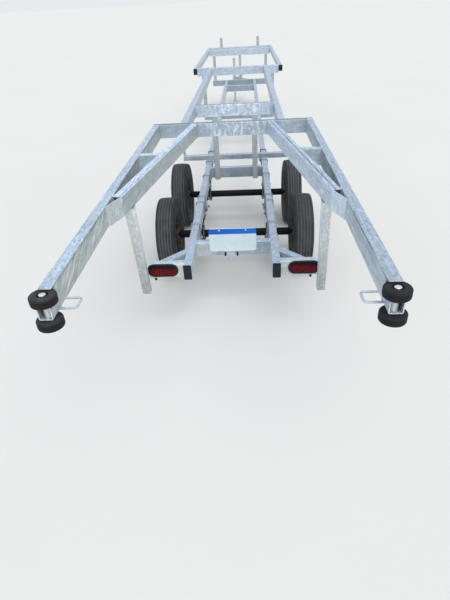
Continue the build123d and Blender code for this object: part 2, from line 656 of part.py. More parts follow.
# wheels: tyre and rim share the axle line of each corner
WHEELS = (
    ("rear_left", -1, AXLE_REAR_Y),
    ("rear_right", 1, AXLE_REAR_Y),
    ("front_left", -1, AXLE_FRONT_Y),
    ("front_right", 1, AXLE_FRONT_Y),
)
for name, side, y in WHEELS:
    spin = Axis((0, y, WHEEL_R), (1, 0, 0))
    with BuildPart() as tyre:
        with BuildSketch(Plane.XY.move(Location((side * WHEEL_X, y, WHEEL_R)))):
            with BuildLine():
                half = TYRE_W / 2
                Polyline((-BEAD_X, RIM_R - 6), (BEAD_X, RIM_R - 6), (BEAD_X, RIM_R + 4))
                ThreePointArc((BEAD_X, RIM_R + 4), (half, BULGE_R), (half - 5, SHOULDER_R))
                ThreePointArc((half - 5, SHOULDER_R), (half - 8, TREAD_R - 4.5), (TREAD_HALF, TREAD_R))
                ThreePointArc((TREAD_HALF, TREAD_R), (0, WHEEL_R), (-TREAD_HALF, TREAD_R))
                ThreePointArc((-TREAD_HALF, TREAD_R), (8 - half, TREAD_R - 4.5), (5 - half, SHOULDER_R))
                ThreePointArc((5 - half, SHOULDER_R), (-half, BULGE_R), (-BEAD_X, RIM_R + 4))
                Line((-BEAD_X, RIM_R + 4), (-BEAD_X, RIM_R - 6))
            make_face()
        revolve(axis=spin)
    tyre.part.label = "tyre_" + name
    export_step(tyre.part, "parts/tyre_" + name + ".step")
    with BuildPart() as rim:
        with BuildSketch(Plane.XY.move(Location((side * WHEEL_X, y, WHEEL_R)))):
            with BuildLine():
                Polyline(
                    (-side * 61, RIM_R + 3),
                    (-side * 53, RIM_R + 3),
                    (-side * 53, RIM_R - 8),
                    (-side * 30, RIM_R - 24),
                    (side * 30, RIM_R - 24),
                    (side * 53, RIM_R - 8),
                    (side * 53, RIM_R + 3),
                    (side * 61, RIM_R + 3),
                    (side * 61, RIM_R - 14),
                    (side * 36, RIM_R - 30),
                    (side * 14, RIM_R - 30),
                    (side * 22, 96),
                    (side * 12, 66),
                    (side * 12, 36),
                    (side * 40, 34),
                    (side * 46, 24),
                    (side * 46, 0),
                    (side * 40, 0),
                    (side * 40, SPINDLE_R + SPINDLE_FIT),
                    (-side * 66, SPINDLE_R + SPINDLE_FIT),
                    (-side * 66, 38),
                    (0, 48),
                    (0, 66),
                    (side * 10, 98),
                    (side * 2, RIM_R - 30),
                    (-side * 36, RIM_R - 30),
                    (-side * 61, RIM_R - 14),
                    close=True,
                )
            make_face()
        revolve(axis=spin)
    rim.part.label = "rim_" + name
    export_step(rim.part, "parts/rim_" + name + ".step")

# guide rollers and their pins
UPPER_ROLLER_Z = UP_Z + STUB_H + ROLLER_GAP
LOWER_ROLLER_Z = UP_Z - ROLLER_GAP - ROLLER_T
ROLLERS = (
    ("upper_left", -1, UPPER_ROLLER_Z),
    ("upper_right", 1, UPPER_ROLLER_Z),
    ("lower_left", -1, LOWER_ROLLER_Z),
    ("lower_right", 1, LOWER_ROLLER_Z),
)
for name, side, z in ROLLERS:
    with BuildPart() as roller:
        with BuildSketch(Plane.XZ.offset(-ROLLER_Y)):
            with BuildLine():
                bore = side * ARM_X + PIN_R + PIN_FIT
                rim_x = side * ARM_X + ROLLER_R
                Line((bore, z), (rim_x - ROLLER_EDGE, z))
                RadiusArc((rim_x - ROLLER_EDGE, z), (rim_x, z + ROLLER_EDGE), -ROLLER_EDGE)
                Line((rim_x, z + ROLLER_EDGE), (rim_x, z + ROLLER_T - ROLLER_EDGE))
                RadiusArc(
                    (rim_x, z + ROLLER_T - ROLLER_EDGE),
                    (rim_x - ROLLER_EDGE, z + ROLLER_T),
                    -ROLLER_EDGE,
                )
                Polyline((rim_x - ROLLER_EDGE, z + ROLLER_T), (bore, z + ROLLER_T), (bore, z))
            make_face()
        revolve(axis=Axis((side * ARM_X, ROLLER_Y, 0), (0, 0, 1)))
        for z_recess in (z, z + ROLLER_T - RECESS_DEEP):
            with BuildSketch(Plane.XY.offset(z_recess)):
                with Locations((side * ARM_X, ROLLER_Y)):
                    Circle(RECESS_R)
            extrude(amount=RECESS_DEEP, mode=Mode.SUBTRACT)
    roller.part.label = "roller_" + name
    export_step(roller.part, "parts/roller_" + name + ".step")

with BuildPart() as roller_pins:
    with BuildSketch(Plane.XY.offset(LOWER_ROLLER_Z - 2)):
        with Locations((-ARM_X, ROLLER_Y), (ARM_X, ROLLER_Y)):
            Circle(PIN_R)
    extrude(amount=UPPER_ROLLER_Z + ROLLER_T + 2 - LOWER_ROLLER_Z + 2)
    for z in (LOWER_ROLLER_Z - 2, UPPER_ROLLER_Z + ROLLER_T - 1.5):
        with BuildSketch(Plane.XY.offset(z)):
            with Locations((-ARM_X, ROLLER_Y), (ARM_X, ROLLER_Y)):
                Circle(HEAD_R)
        extrude(amount=3.5)
roller_pins.part.label = "roller_pins"
export_step(roller_pins.part, "parts/roller_pins.step")

# tie-down loops on the inner faces of the outer arms
LOOP_R = 4.5
LOOP_Z = 988.0
LOOP_REAR = -4906.0
LOOP_FRONT = -4840.0
LOOP_REACH = 68.0
LOOP_BEND = 14.0
with BuildPart() as tie_loops:
    for side in (-1, 1):
        with BuildLine() as loop_path:
            FilletPolyline(
                (side * ARM_IN, LOOP_REAR, LOOP_Z),
                (side * (ARM_IN - LOOP_REACH), LOOP_REAR, LOOP_Z),
                (side * (ARM_IN - LOOP_REACH), LOOP_FRONT, LOOP_Z),
                (side * ARM_IN, LOOP_FRONT, LOOP_Z),
                radius=LOOP_BEND,
            )
        with BuildSketch(Plane.YZ.offset(side * ARM_IN)):
            with Locations((LOOP_REAR, LOOP_Z)):
                Circle(LOOP_R)
        sweep(path=loop_path.wires()[0])
tie_loops.part.label = "tie_loops"
export_step(tie_loops.part, "parts/tie_loops.step")

# tail lamps: lens inside a soft surround
LAMP_X = 436.0
LAMP_Z = 446.0
LAMP_L = 182.0
LAMP_H = 82.0
LENS_L = 160.0
LENS_H = 60.0
with BuildPart() as lamp_surrounds:
    with BuildSketch(Plane.XZ.offset(-WING_Y)):
        with Locations((-LAMP_X, LAMP_Z), (LAMP_X, LAMP_Z)):
            SlotOverall(LAMP_L, LAMP_H)
            SlotOverall(LENS_L, LENS_H, mode=Mode.SUBTRACT)
    extrude(amount=8)
lamp_surrounds.part.label = "lamp_surrounds"
export_step(lamp_surrounds.part, "parts/lamp_surrounds.step")

with BuildPart() as lamp_lenses:
    with BuildSketch(Plane.XZ.offset(-WING_Y)):
        with Locations((-LAMP_X, LAMP_Z), (LAMP_X, LAMP_Z)):
            SlotOverall(LENS_L, LENS_H)
    extrude(amount=12)
lamp_lenses.part.label = "lamp_lenses"
export_step(lamp_lenses.part, "parts/lamp_lenses.step")

# number plate, blank, and the small bracket below it
PLATE_W = 320.0
PLATE_H = 170.0
PLATE_Z = 507.0
PLATE_T = 3.0
with BuildPart() as number_plate:
    with BuildSketch(Plane.XZ.offset(-REAR_MEMBER_Y)):
        with Locations((0, PLATE_Z)):
            RectangleRounded(PLATE_W, PLATE_H, 14)
    extrude(amount=PLATE_T)
number_plate.part.label = "number_plate"
export_step(number_plate.part, "parts/number_plate.step")

BRACKET_X = -18.5
BRACKET_LOW = 352.0
BRACKET_SPAN = 49.0
BRACKET_TALL = 70.0
with BuildPart() as plate_bracket:
    with BuildSketch(Plane.XZ.offset(-REAR_MEMBER_Y)):
        with Locations((BRACKET_X, BRACKET_LOW + BRACKET_TALL / 2)):
            Rectangle(BRACKET_SPAN, BRACKET_TALL)
    extrude(amount=2.5)
plate_bracket.part.label = "plate_bracket"
export_step(plate_bracket.part, "parts/plate_bracket.step")

# end caps
with BuildPart() as end_caps:
    with BuildSketch(Plane.XZ.offset(-RAIL_REAR)):
        with Locations((-RAIL_X, LOW_Z + TUBE_H / 2), (RAIL_X, LOW_Z + TUBE_H / 2)):
            RectangleRounded(TUBE_W, TUBE_H, TUBE_R)
    extrude(amount=CAP_T)
    with BuildSketch(Plane.XZ.offset(-SIDE_REAR)):
        with Locations((-ARM_X, UP_TOP - SIDE_H / 2), (ARM_X, UP_TOP - SIDE_H / 2)):
            RectangleRounded(TUBE_W, SIDE_H, TUBE_R)
    extrude(amount=CAP_T)
end_caps.part.label = "end_caps"
export_step(end_caps.part, "parts/end_caps.step")
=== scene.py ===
import math
import bmesh
import bpy
import numpy as np
from mathutils import Matrix


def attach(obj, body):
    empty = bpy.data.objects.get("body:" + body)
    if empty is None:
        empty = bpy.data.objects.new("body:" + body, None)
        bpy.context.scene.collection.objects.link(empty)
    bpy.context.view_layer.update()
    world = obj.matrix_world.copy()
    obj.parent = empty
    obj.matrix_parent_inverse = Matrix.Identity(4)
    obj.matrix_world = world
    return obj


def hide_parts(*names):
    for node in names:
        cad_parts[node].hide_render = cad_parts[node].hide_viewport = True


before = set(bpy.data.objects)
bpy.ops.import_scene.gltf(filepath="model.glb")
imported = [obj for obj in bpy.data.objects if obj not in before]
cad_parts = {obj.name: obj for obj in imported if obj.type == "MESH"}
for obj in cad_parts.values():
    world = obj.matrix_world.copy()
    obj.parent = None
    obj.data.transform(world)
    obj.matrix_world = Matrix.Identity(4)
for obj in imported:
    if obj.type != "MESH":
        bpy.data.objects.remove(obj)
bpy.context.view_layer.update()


# Studio and camera. A pale floor that runs to the horizon, an even sky and one wide soft sun.
# The camera stands behind the guide rollers at head height and looks forward and down along the rails.
class Wire:
    """One output of a material's node. + - * on it, with numbers or other outputs, add Math nodes."""

    def __init__(self, tree, out):
        self.tree = tree
        self.out = out

    def node(self, kind, settings, sockets, output=0):
        """Adds a node of that kind. Its settings are set first, then its sockets."""
        made = self.tree.nodes.new("ShaderNode" + kind)
        for setting, value in settings.items():
            setattr(made, setting, value)
        for socket, value in sockets.items():
            if isinstance(value, Wire):
                self.tree.links.new(value.out, made.inputs[socket])
            else:
                made.inputs[socket].default_value = value
        return Wire(self.tree, made.outputs[output])

    def maths(self, operation, first, second=0):
        """A Math node on the two values."""
        return self.node("Math", {"operation": operation}, {0: first, 1: second})

    def __add__(self, other):
        return self.maths("ADD", self, other)

    def __sub__(self, other):
        return self.maths("SUBTRACT", self, other)

    def __rsub__(self, other):
        return self.maths("SUBTRACT", other, self)

    def __mul__(self, other):
        return self.maths("MULTIPLY", self, other)

    __radd__ = __add__
    __rmul__ = __mul__

    def within(self, low, high):
        """0 below low, 1 above high, straight in between."""
        return self.node("MapRange", {"clamp": True}, {0: self, 1: low, 2: high})

    def between(self, rise_from, rise_to, fall_from, fall_to):
        """0 up to rise_from, 1 from rise_to to fall_from and 0 past fall_to."""
        return self.within(rise_from, rise_to) * (1 - self.within(fall_from, fall_to))

    def absolute(self):
        """This value without its sign."""
        return self.maths("ABSOLUTE", self)

    def blend(self, first, second):
        """The colour first where this is 0 and second where it is 1."""
        return self.node("Mix", {"data_type": "RGBA"}, {0: self, 6: first, 7: second}, 2)

    def shade(self, colour):
        """The colour times this value."""
        return self.node("VectorMath", {"operation": "SCALE"}, {0: colour, 3: self})

    def part(self, axis):
        """One of a vector's three numbers: 0 is x, 1 is y and 2 is z."""
        return self.node("SeparateXYZ", {}, {0: self}, axis)

    def stretched(self, x, y, z):
        """These coordinates, each times its own number."""
        return self.node("VectorMath", {"operation": "MULTIPLY"}, {0: self, 1: (x, y, z)})

    def moved(self, x, y, z):
        """These coordinates, each plus its own number."""
        return self.node("VectorMath", {"operation": "ADD"}, {0: self, 1: (x, y, z)})

    def noise(self, scale, detail=3.0, roughness=0.55):
        """A noise at these coordinates."""
        sockets = {"Vector": self, "Scale": scale, "Detail": detail, "Roughness": roughness}
        return self.node("TexNoise", {}, sockets)

    def into(self, shader, socket):
        """Links this output to the shader's socket."""
        self.tree.links.new(self.out, shader.inputs[socket])

    def relief(self, shader, strength, depth):
        """Takes this value as the height of the shader's relief, which is depth metres deep."""
        bump = self.node("Bump", {}, {"Strength": strength, "Distance": depth, "Height": self})
        bump.into(shader, "Normal")


def new_finish(name, **constants):
    """An empty material: returns it, its shader, the piece's own coordinates and its normals."""
    made = bpy.data.materials.new(name)
    made.use_nodes = True
    shader = made.node_tree.nodes["Principled BSDF"]
    for socket, value in constants.items():
        shader.inputs[socket.replace("_", " ")].default_value = value
    at = made.node_tree.nodes.new("ShaderNodeTexCoord").outputs
    return made, shader, Wire(made.node_tree, at["Object"]), Wire(made.node_tree, at["Normal"])


bpy.context.scene.view_settings.view_transform = "Standard"
FLOOR_HALF = 900.0
FLOOR_CORNERS = np.array([(-1, -1, 0), (1, -1, 0), (1, 1, 0), (-1, 1, 0)]) * FLOOR_HALF
FLOOR_COLOUR = (0.76, 0.76, 0.75, 1)
FLOOR_PALER = (0.78, 0.78, 0.77, 1)
floor_mesh = bpy.data.meshes.new("studio_floor")
floor_mesh.from_pydata(FLOOR_CORNERS.tolist(), [], [(0, 1, 2, 3)])
floor = bpy.data.objects.new("studio_floor", floor_mesh)
bpy.context.scene.collection.objects.link(floor)
floor_finish, floor_shader, floor_at, _ = new_finish("studio_floor", Roughness=0.9)
floor_at.noise(0.6).within(0.2, 0.8).blend(FLOOR_COLOUR, FLOOR_PALER).into(floor_shader, "Base Color")
floor_mesh.materials.append(floor_finish)

SKY_LIGHT = 0.74
SKY_SEEN = (0.80, 0.83, 0.86, 1)
world = bpy.data.worlds.new("soft_sky")
bpy.context.scene.world = world
world.use_nodes = True
sky = Wire(world.node_tree, world.node_tree.nodes.new("ShaderNodeLightPath").outputs["Is Camera Ray"])
glossy = sky.node("LightPath", {}, {}, "Is Glossy Ray")
through = sky.node("LightPath", {}, {}, "Is Transmission Ray")
seen = sky.maths("MAXIMUM", sky.maths("MAXIMUM", sky, glossy), through)
lit = sky.node("Background", {}, {"Color": (0.93, 0.97, 1.0, 1), "Strength": SKY_LIGHT})
shown = sky.node("Background", {}, {"Color": SKY_SEEN, "Strength": 1.0})
mixed = sky.node("MixShader", {}, {0: seen, 1: lit, 2: shown})
mixed.into(world.node_tree.nodes["World Output"], "Surface")

sun_lamp = bpy.data.lights.new("wide_soft_sun", "SUN")
sun_lamp.energy = 1.5
sun_lamp.angle = math.radians(50)
sun_lamp.color = (1.0, 0.985, 0.96)
sun = bpy.data.objects.new("wide_soft_sun", sun_lamp)
sun.rotation_euler = (math.radians(30), math.radians(14), 0)
bpy.context.scene.collection.objects.link(sun)

CAMERA_AT = (0.1133, -6.195, 1.8682)
CAMERA_RIGHT = (0.9981973, 0.0356875, -0.04825514)
CAMERA_UP = (0.02033313, 0.5553831, 0.83134601)
CAMERA_AHEAD = (-0.05646875, 0.83082851, -0.55365627)
camera_data = bpy.data.cameras.new("photo_view")
camera_data.lens = 27.154
camera_data.clip_end = 3000
camera = bpy.data.objects.new("photo_view", camera_data)
camera.matrix_world = Matrix(
    [[CAMERA_RIGHT[i], CAMERA_UP[i], -CAMERA_AHEAD[i], CAMERA_AT[i]] for i in range(3)] + [[0, 0, 0, 1]]
)
bpy.context.scene.collection.objects.link(camera)
bpy.context.scene.camera = camera


# Box section. Steel tube, mostly 2 by 4 and 2 by 2 inch, cut, welded up and dipped whole in molten zinc.
# The coat is flecked on the tops, with draw lines along the tube and cream runs down it. The light blue
# of the tops and the chalkier sides are painted light: a painted reflection of the sky in the tops, and lit
# and shaded sides. Its round corners are pale with painted highlights, and the dark lines along the arms are
# painted shade, beside a dark seam along the inner arms' tops.
SPLAY_START = (295.4, -2540.0)
SPLAY_END = (540.0, -4062.0)
SPLAY = (SPLAY_END[0] - SPLAY_START[0]) / (SPLAY_START[1] - SPLAY_END[1])
CREAM = (0.66, 0.67, 0.60, 1)
DEEP_BLUE = (0.22, 0.30, 0.50, 1)
# How the flecks and the draw streaks are stretched on a tube that lies along x, y or z.
FLECK_STRETCH = {"x": (0.4, 1, 1), "y": (1, 0.4, 1), "z": (1, 1, 0.4)}
STREAK_STRETCH = {"x": (4, 120, 120), "y": (120, 4, 120), "z": (120, 120, 4)}


class Faces:
    """How a face lies, from its normal: across to the left, and shares from 0 to 1 for the rest."""

    def __init__(self, normal):
        self.across = 0 - normal.part(0)
        back, up = 0 - normal.part(1), normal.part(2)
        self.left = self.across.within(-0.2, 0.2)
        self.rear = back.within(0.4, 0.9)
        self.tipped = up.within(0.3, 0.9)
        self.upright = 1 - self.tipped
        self.corner = up.between(0.1, 0.45, 0.80, 0.97)
        self.under_corner = (0 - up).between(0.1, 0.45, 0.80, 0.97)


def zinc(
    name, top, warm, cool, rear, lengthwise="y",
    fleck=0.6, runs=0.5, streaks=0.5, cream=0.0, leaning=False, marks_and_light=None,
):
    """Tone = 0.73 + mottle + cloud + grain + bright spots - flecks + corners, and on upright faces + streaks
    + runs. The corners are painted highlights. marks_and_light changes it for members with their own lines,
      scuffs
    and painted light. The colour is tone times top, warm, cool or rear as the face looks up, right, left or
    back,
    which is painted light: the sky's painted reflection in the tops, and lit and shaded sides. It is deep
    blue in the flecks of the tops, as part of that reflection, and cream in the runs, on the lower corners as
    a painted highlight and, as far as cream says, on the left half of a rear face behind y = -1.4. Runs fall
    straight down, or lean by 26 degrees."""
    made, shader, at, normal = new_finish(name, Metallic=0.25)
    faces = Faces(normal)
    tipped, upright = faces.tipped, faces.upright
    lengthened = at.stretched(*FLECK_STRETCH[lengthwise])
    cloud = at.noise(5, 3).within(0.3, 0.7)
    mottle = at.noise(24, 5, 0.65).within(0.38, 0.62)
    grain = at.noise(110, 4, 0.6).within(0.36, 0.64)
    flecks = lengthened.noise(92, 4, 0.6).within(0.50, 0.62) * (0.3 + mottle * 0.7) * fleck
    bright = lengthened.noise(45, 3, 0.5).within(0.55, 0.68)
    streak = at.stretched(*STREAK_STRETCH[lengthwise]).noise(1.0, 4, 0.6).within(0.36, 0.64)
    down = at.stretched(110, 110, 6)
    if leaning:
        sockets = {"Vector": at, "Angle": math.radians(-26)}
        down = at.node("VectorRotate", {"rotation_type": "X_AXIS"}, sockets).stretched(110, 7, 110)
    run = down.noise(1.0, 5, 0.65).within(0.42, 0.68) * upright * runs * (1 - faces.left * 0.6)
    tone = 0.73 + mottle * 0.18 + cloud * 0.12 + grain * 0.14 + bright * 0.18
    tone = tone - flecks * (0.12 + tipped * 0.36)
    tone = tone + (streak - 0.5) * upright * streaks * (0.2 + faces.left * 0.34) + run * 0.26
    # Painted highlights: the rounded corners are made paler.
    tone = tone + faces.corner * 0.20 + faces.under_corner * 0.14
    if marks_and_light:
        tone = marks_and_light(tone, at, faces, streak, run)
    # Cream on the lower corners is a painted highlight; cream in the runs is the zinc's own.
    pale = run * 0.7 + faces.under_corner * 0.4
    if cream:
        whitened = at.part(0).within(-0.06, -0.19) * at.part(1).within(-1.40, -1.46) * faces.rear * cream
        pale = pale + whitened
        tone = tone + whitened * 0.22
    # Painted light: each face takes the colour of the light that falls on it, with the sky reflected in the
    # tops.
    colour = faces.rear.blend(faces.left.blend(warm, cool), rear)
    colour = (flecks * tipped).blend(tipped.blend(colour, top), DEEP_BLUE)
    tone.shade(pale.within(0, 1).blend(colour, CREAM)).into(shader, "Base Color")
    (0.42 + mottle * 0.16 + flecks * 0.2).into(shader, "Roughness")
    (at.noise(60, 3) * 0.5 + mottle * 0.15 + streak * upright * 0.3).relief(shader, 0.5, 0.0012)
    return made


def scuff_marks(tone, at, faces, streak, run):
    """Bright rubbed patches are added along a bar's middle. The bar ahead of y = -1.9 is lighter."""
    rubbed = at.stretched(34, 30, 16).noise(1.0, 5, 0.7).within(0.49, 0.58)
    middle = 1 - at.part(0).absolute().within(0.14, 0.34)
    return (tone + rubbed * middle * 0.6) * (0.90 + at.part(1).within(-2.4, -1.9) * 0.29)


def leg_painted_light(tone, at, faces, streak, run):
    """Upright faces get lighter with height: painted light, bright at the head and shaded towards the foot.
    """
    return tone + at.part(2).within(0.30, 0.95) * faces.upright * 0.65


def right_side(at):
    """0 on the trailer's left side and 1 on its right."""
    return at.part(0).within(-0.1, 0.1)


def inner_faces(at, faces):
    """1 on a face that looks to the trailer's middle plane."""
    return (faces.across * at.part(0)).within(0.03, 0.2)


def arm_lines(tone, at, faces, dark_line, amount):
    """Tone - dark line - a thin second line + level scratches, both of them on the right arm's inner face,
    + a paler foot and a painted highlight on the outer corner."""
    height = at.part(2)
    inward = inner_faces(at, faces)
    uneven = 0.55 + at.stretched(0, 3, 0).noise(1.0, 2).within(0.25, 0.5) * 0.45
    second_line = height.between(1.0450, 1.0475, 1.0495, 1.0520) * inward * faces.left
    scratch = at.stretched(0, 1.4, 300).noise(1.0, 2, 0.5).within(0.60, 0.66)
    scratch = scratch * inward * faces.left * faces.upright
    tone = tone - (dark_line + second_line * 0.45) * uneven * amount + scratch * 0.30 * amount
    # The outer corner gets a painted highlight.
    return tone + (height.within(1.030, 0.985) * 0.16 + faces.corner * (1 - inward) * 0.20) * amount


def outer_arm_marks_and_light(tone, at, faces, streak, run):
    """The dark line along the inner face's upper corner is painted shade. The nook between the arms is
    shaded, and runs show stronger on faces that look right. The left arm's top is lighter than the right
    one's: painted light."""
    height = at.part(2)
    inward = inner_faces(at, faces)
    # Painted shade along the upper corner of the face that looks inwards.
    dark_line = height.within(1.0600, 1.0685) * inward * faces.upright + faces.corner * inward * 0.7
    tone = tone + (streak - 0.5) * faces.tipped * 0.26
    # Painted light: the left arm's top is made lighter and the right one's darker.
    tone = tone * (1 + faces.tipped * (0.10 - right_side(at) * 0.18))
    nook = at.part(1).within(-3.34, -3.44) * at.part(1).within(-4.05, -3.80) * inward * faces.upright
    tone = tone - nook * (0.20 + height.within(1.06, 1.00) * 0.16)
    tone = tone + (run - 0.35) * (1 - faces.left) * faces.upright * 0.26
    return arm_lines(tone, at, faces, dark_line, 0.36)


def inner_arm_marks_and_light(tone, at, faces, streak, run):
    """The dark line lies lengthwise on the top: 7 to 20 mm to the right of the left arm's middle, and from
    11 mm left to 2 mm right of the right arm's, where it is stronger. Painted shade darkens the upper corner
    of the face that looks inwards, and painted light makes the left arm's top lighter and the right one's
    darker."""
    right = right_side(at)
    off_middle = at.part(0).absolute() - SPLAY_START[0] / 1000 + (at.part(1) - SPLAY_START[1] / 1000) * SPLAY
    to_right = off_middle * (right * 2 - 1) + right * 0.018
    dark_line = to_right.between(0.0070, 0.0110, 0.0165, 0.0200) * faces.tipped * (0.8 + right * 0.7)
    # Painted shade on the upper corner of the face that looks inwards.
    dark_line = dark_line + inner_faces(at, faces) * faces.corner * 0.6
    tone = tone + (streak - 0.5) * faces.tipped * 0.26
    # Painted light: the left arm's top lighter, the right one's darker.
    tone = tone * (1 + faces.tipped * (0.08 - right * 0.23))
    return arm_lines(tone, at, faces, dark_line, 0.30)


# Colours of the faces that look up, right, left and back, as most members have them. They are painted
# light: the tops hold a painted reflection of the blue sky, and the sides and backs are lit and shaded copies
# of one zinc.
TOP = (0.47, 0.575, 0.71, 1)
WARM = (0.46, 0.53, 0.56, 1)
COOL = (0.45, 0.54, 0.65, 1)
REAR = (0.44, 0.52, 0.60, 1)
USUAL = (TOP, WARM, COOL)
zinc_tube = zinc("galvanised_tube", *USUAL, REAR, fleck=0.45)
zinc_small = zinc("galvanised_small_parts", (0.50, 0.57, 0.66, 1), WARM, COOL, REAR, fleck=0.3)
# Each member's finish below gives its faces their own colours, tuned to the light and shade that fall on that
# member: painted light. The outer arms' pale rear faces also paint light into the open stubs at their tips.
zinc_arm = zinc(
    "galvanised_arm", TOP, (0.41, 0.47, 0.48, 1), COOL, (0.80, 0.85, 0.90, 1),
    fleck=0.55, runs=1.0, streaks=0.9, leaning=True, marks_and_light=outer_arm_marks_and_light,
)
zinc_inner = zinc(
    "galvanised_inner_arm", (0.60, 0.73, 0.93, 1), (0.39, 0.45, 0.47, 1), (0.55, 0.66, 0.80, 1), REAR,
    fleck=0.45, leaning=True, marks_and_light=inner_arm_marks_and_light,
)
zinc_gusset = zinc(
    "galvanised_gusset", TOP, (0.51, 0.58, 0.60, 1), (0.61, 0.73, 0.86, 1), (0.70, 0.80, 0.88, 1), "x",
    fleck=0.3,
)
zinc_upper_bar = zinc(
    "galvanised_upper_bar", (0.24, 0.30, 0.365, 1), WARM, COOL, (0.47, 0.555, 0.665, 1), "x",
    marks_and_light=scuff_marks,
)
zinc_lower_bar = zinc("galvanised_lower_bar", *USUAL, (0.31, 0.38, 0.47, 1), "x", cream=0.4)
zinc_platform = zinc("galvanised_platform", *USUAL, (0.52, 0.62, 0.75, 1), "x")
zinc_wing = zinc(
    "galvanised_wing", (0.60, 0.70, 0.80, 1), WARM, COOL, (0.50, 0.56, 0.59, 1), "x",
    fleck=0.3, cream=0.4,
)
zinc_post = zinc(
    "galvanised_post", TOP, (0.56, 0.61, 0.62, 1), (0.52, 0.60, 0.70, 1), (0.45, 0.50, 0.53, 1), "z",
    fleck=0.3, runs=0.3,
)
zinc_leg = zinc(
    "galvanised_leg", *USUAL, (0.20, 0.235, 0.275, 1), "z",
    fleck=0.4, streaks=0.6, marks_and_light=leg_painted_light,
)
# The solids that keep the CAD's own form, each with its finish.
FROM_CAD = {
    "rails_lower": zinc_tube,
    "cross_members_lower": zinc_lower_bar,
    "lamp_wings": zinc_wing,
    "wing_braces": zinc_tube,
    "arms_outer": zinc_arm,
    "arms_inner": zinc_inner,
    "arm_gussets": zinc_gusset,
    "arm_ties": zinc_inner,
    "cross_bars_upper": zinc_upper_bar,
    "rails_upper": zinc_tube,
    "platform_sides": zinc_tube,
    "platform_bars": zinc_platform,
    "posts": zinc_post,
    "stop_posts": zinc_post,
    "outrigger": zinc_lower_bar,
    "tongue": zinc_tube,
    "tongue_braces": zinc_tube,
    "tie_loops": zinc_small,
    "spring_hangers": zinc_small,
    "plate_bracket": zinc_small,
}


def dress(nodes):
    """Gives each CAD node its finish in place of the plain one that it was packed with."""
    for node, finish in nodes.items():
        shown_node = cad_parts[node]
        shown_node.data.materials.clear()
        shown_node.data.materials.append(finish)


dress(FROM_CAD)


# Weld beads. Every tube end is welded all round to the face that it meets, and the bead is dipped with it.
# It stands about 3 mm proud and has the small even ripple of a hand-held gun.
def swept(path, normal, section, closed=False):
    """Carries a flat section of (across, up) pairs along a path that lies square to normal:
    p + across*side + up*normal."""
    path = np.asarray(path, float)
    ahead = np.roll(path, -1, 0) - np.roll(path, 1, 0) if closed else np.gradient(path, axis=0)
    ahead /= np.linalg.norm(ahead, axis=1, keepdims=True)
    up = np.asarray(normal, float) / np.linalg.norm(normal)
    side = np.cross(ahead, up)
    section = np.broadcast_to(np.asarray(section, float), (len(path),) + np.shape(section)[-2:])
    points = path[:, None] + section[..., :1] * side[:, None] + section[..., 1:] * up
    return grid(points, rows_closed=closed, columns_closed=True, ends=not closed)


def grid(points, rows_closed=False, columns_closed=False, ends=False):
    """Corners and faces of a surface whose points lie in rows and columns. closed joins the last one to the
    first, and ends closes the first and the last row with a face each."""
    rows, columns = points.shape[:2]
    number = np.arange(rows * columns).reshape(rows, columns)
    if rows_closed:
        number = np.vstack([number, number[:1]])
    if columns_closed:
        number = np.hstack([number, number[:, :1]])
    corners = [number[:-1, :-1], number[1:, :-1], number[1:, 1:], number[:-1, 1:]]
    faces = np.stack(corners, -1).reshape(-1, 4).tolist()
    if ends:
        faces += [number[0, :columns].tolist(), number[-1, :columns][::-1].tolist()]
    return points.reshape(-1, 3), faces


def piece(name, shapes, finish, body, replaced=(), crease=35.0):
    """Joins shapes, drawn in millimetres, into one mesh in metres. Merges doubles, turns faces outwards,
    keeps edges over crease degrees sharp, and lets the piece ride its body."""
    corners = np.concatenate([points for points, _ in shapes]) / 1000
    starts = np.cumsum([0] + [len(points) for points, _ in shapes]).tolist()
    faces = []
    for start, (_, own_faces) in zip(starts, shapes):
        faces += [[corner + start for corner in face] for face in own_faces]
    mesh = bpy.data.meshes.new(name)
    mesh.from_pydata(corners.tolist(), [], faces)
    work = bmesh.new()
    work.from_mesh(mesh)
    bmesh.ops.remove_doubles(work, verts=work.verts, dist=2e-6)
    bmesh.ops.dissolve_degenerate(work, dist=1e-6, edges=work.edges)
    bmesh.ops.recalc_face_normals(work, faces=work.faces)
    work.to_mesh(mesh)
    work.free()
    mesh.polygons.foreach_set("use_smooth", np.ones(len(mesh.polygons), bool))
    mesh.set_sharp_from_angle(angle=math.radians(crease))
    mesh.materials.append(finish)
    made = bpy.data.objects.new(name, mesh)
    bpy.context.scene.collection.objects.link(made)
    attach(made, body)
    if replaced:
        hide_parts(*replaced)
    return made


BEAD_R, BEAD_STEP, BEAD_SIDES = 3.2, 2.6, 7
BEAD_RIPPLE = 6.3
JOINT_CORNER = 3.5


def bead(corners, normal, closed=True):
    """A round bead along straight runs between corners. Its radius is BEAD_R times 1 + 0.16 of a ripple
    + 0.10 of two slow waves multiplied."""
    corners = np.asarray(corners, float)
    ends = np.roll(corners, -1, 0) if closed else corners[1:]
    runs = []
    for start, end in zip(corners, ends):
        steps = max(2, int(np.linalg.norm(end - start) / BEAD_STEP))
        runs.append(start + (end - start) * np.arange(steps)[:, None] / steps)
    path = np.concatenate(runs if closed else runs + [corners[-1:]])
    far = np.arange(len(path)) * BEAD_STEP
    slow = np.sin(far * 0.31) * np.sin(far * 0.083)
    radius = BEAD_R * (1 + 0.16 * np.sin(far * 2 * np.pi / BEAD_RIPPLE) + 0.10 * slow)
    turn = np.arange(BEAD_SIDES) * 2 * np.pi / BEAD_SIDES
    section = radius[:, None, None] * np.stack([np.cos(turn), np.sin(turn)], -1)
    return swept(path, normal, section, closed)


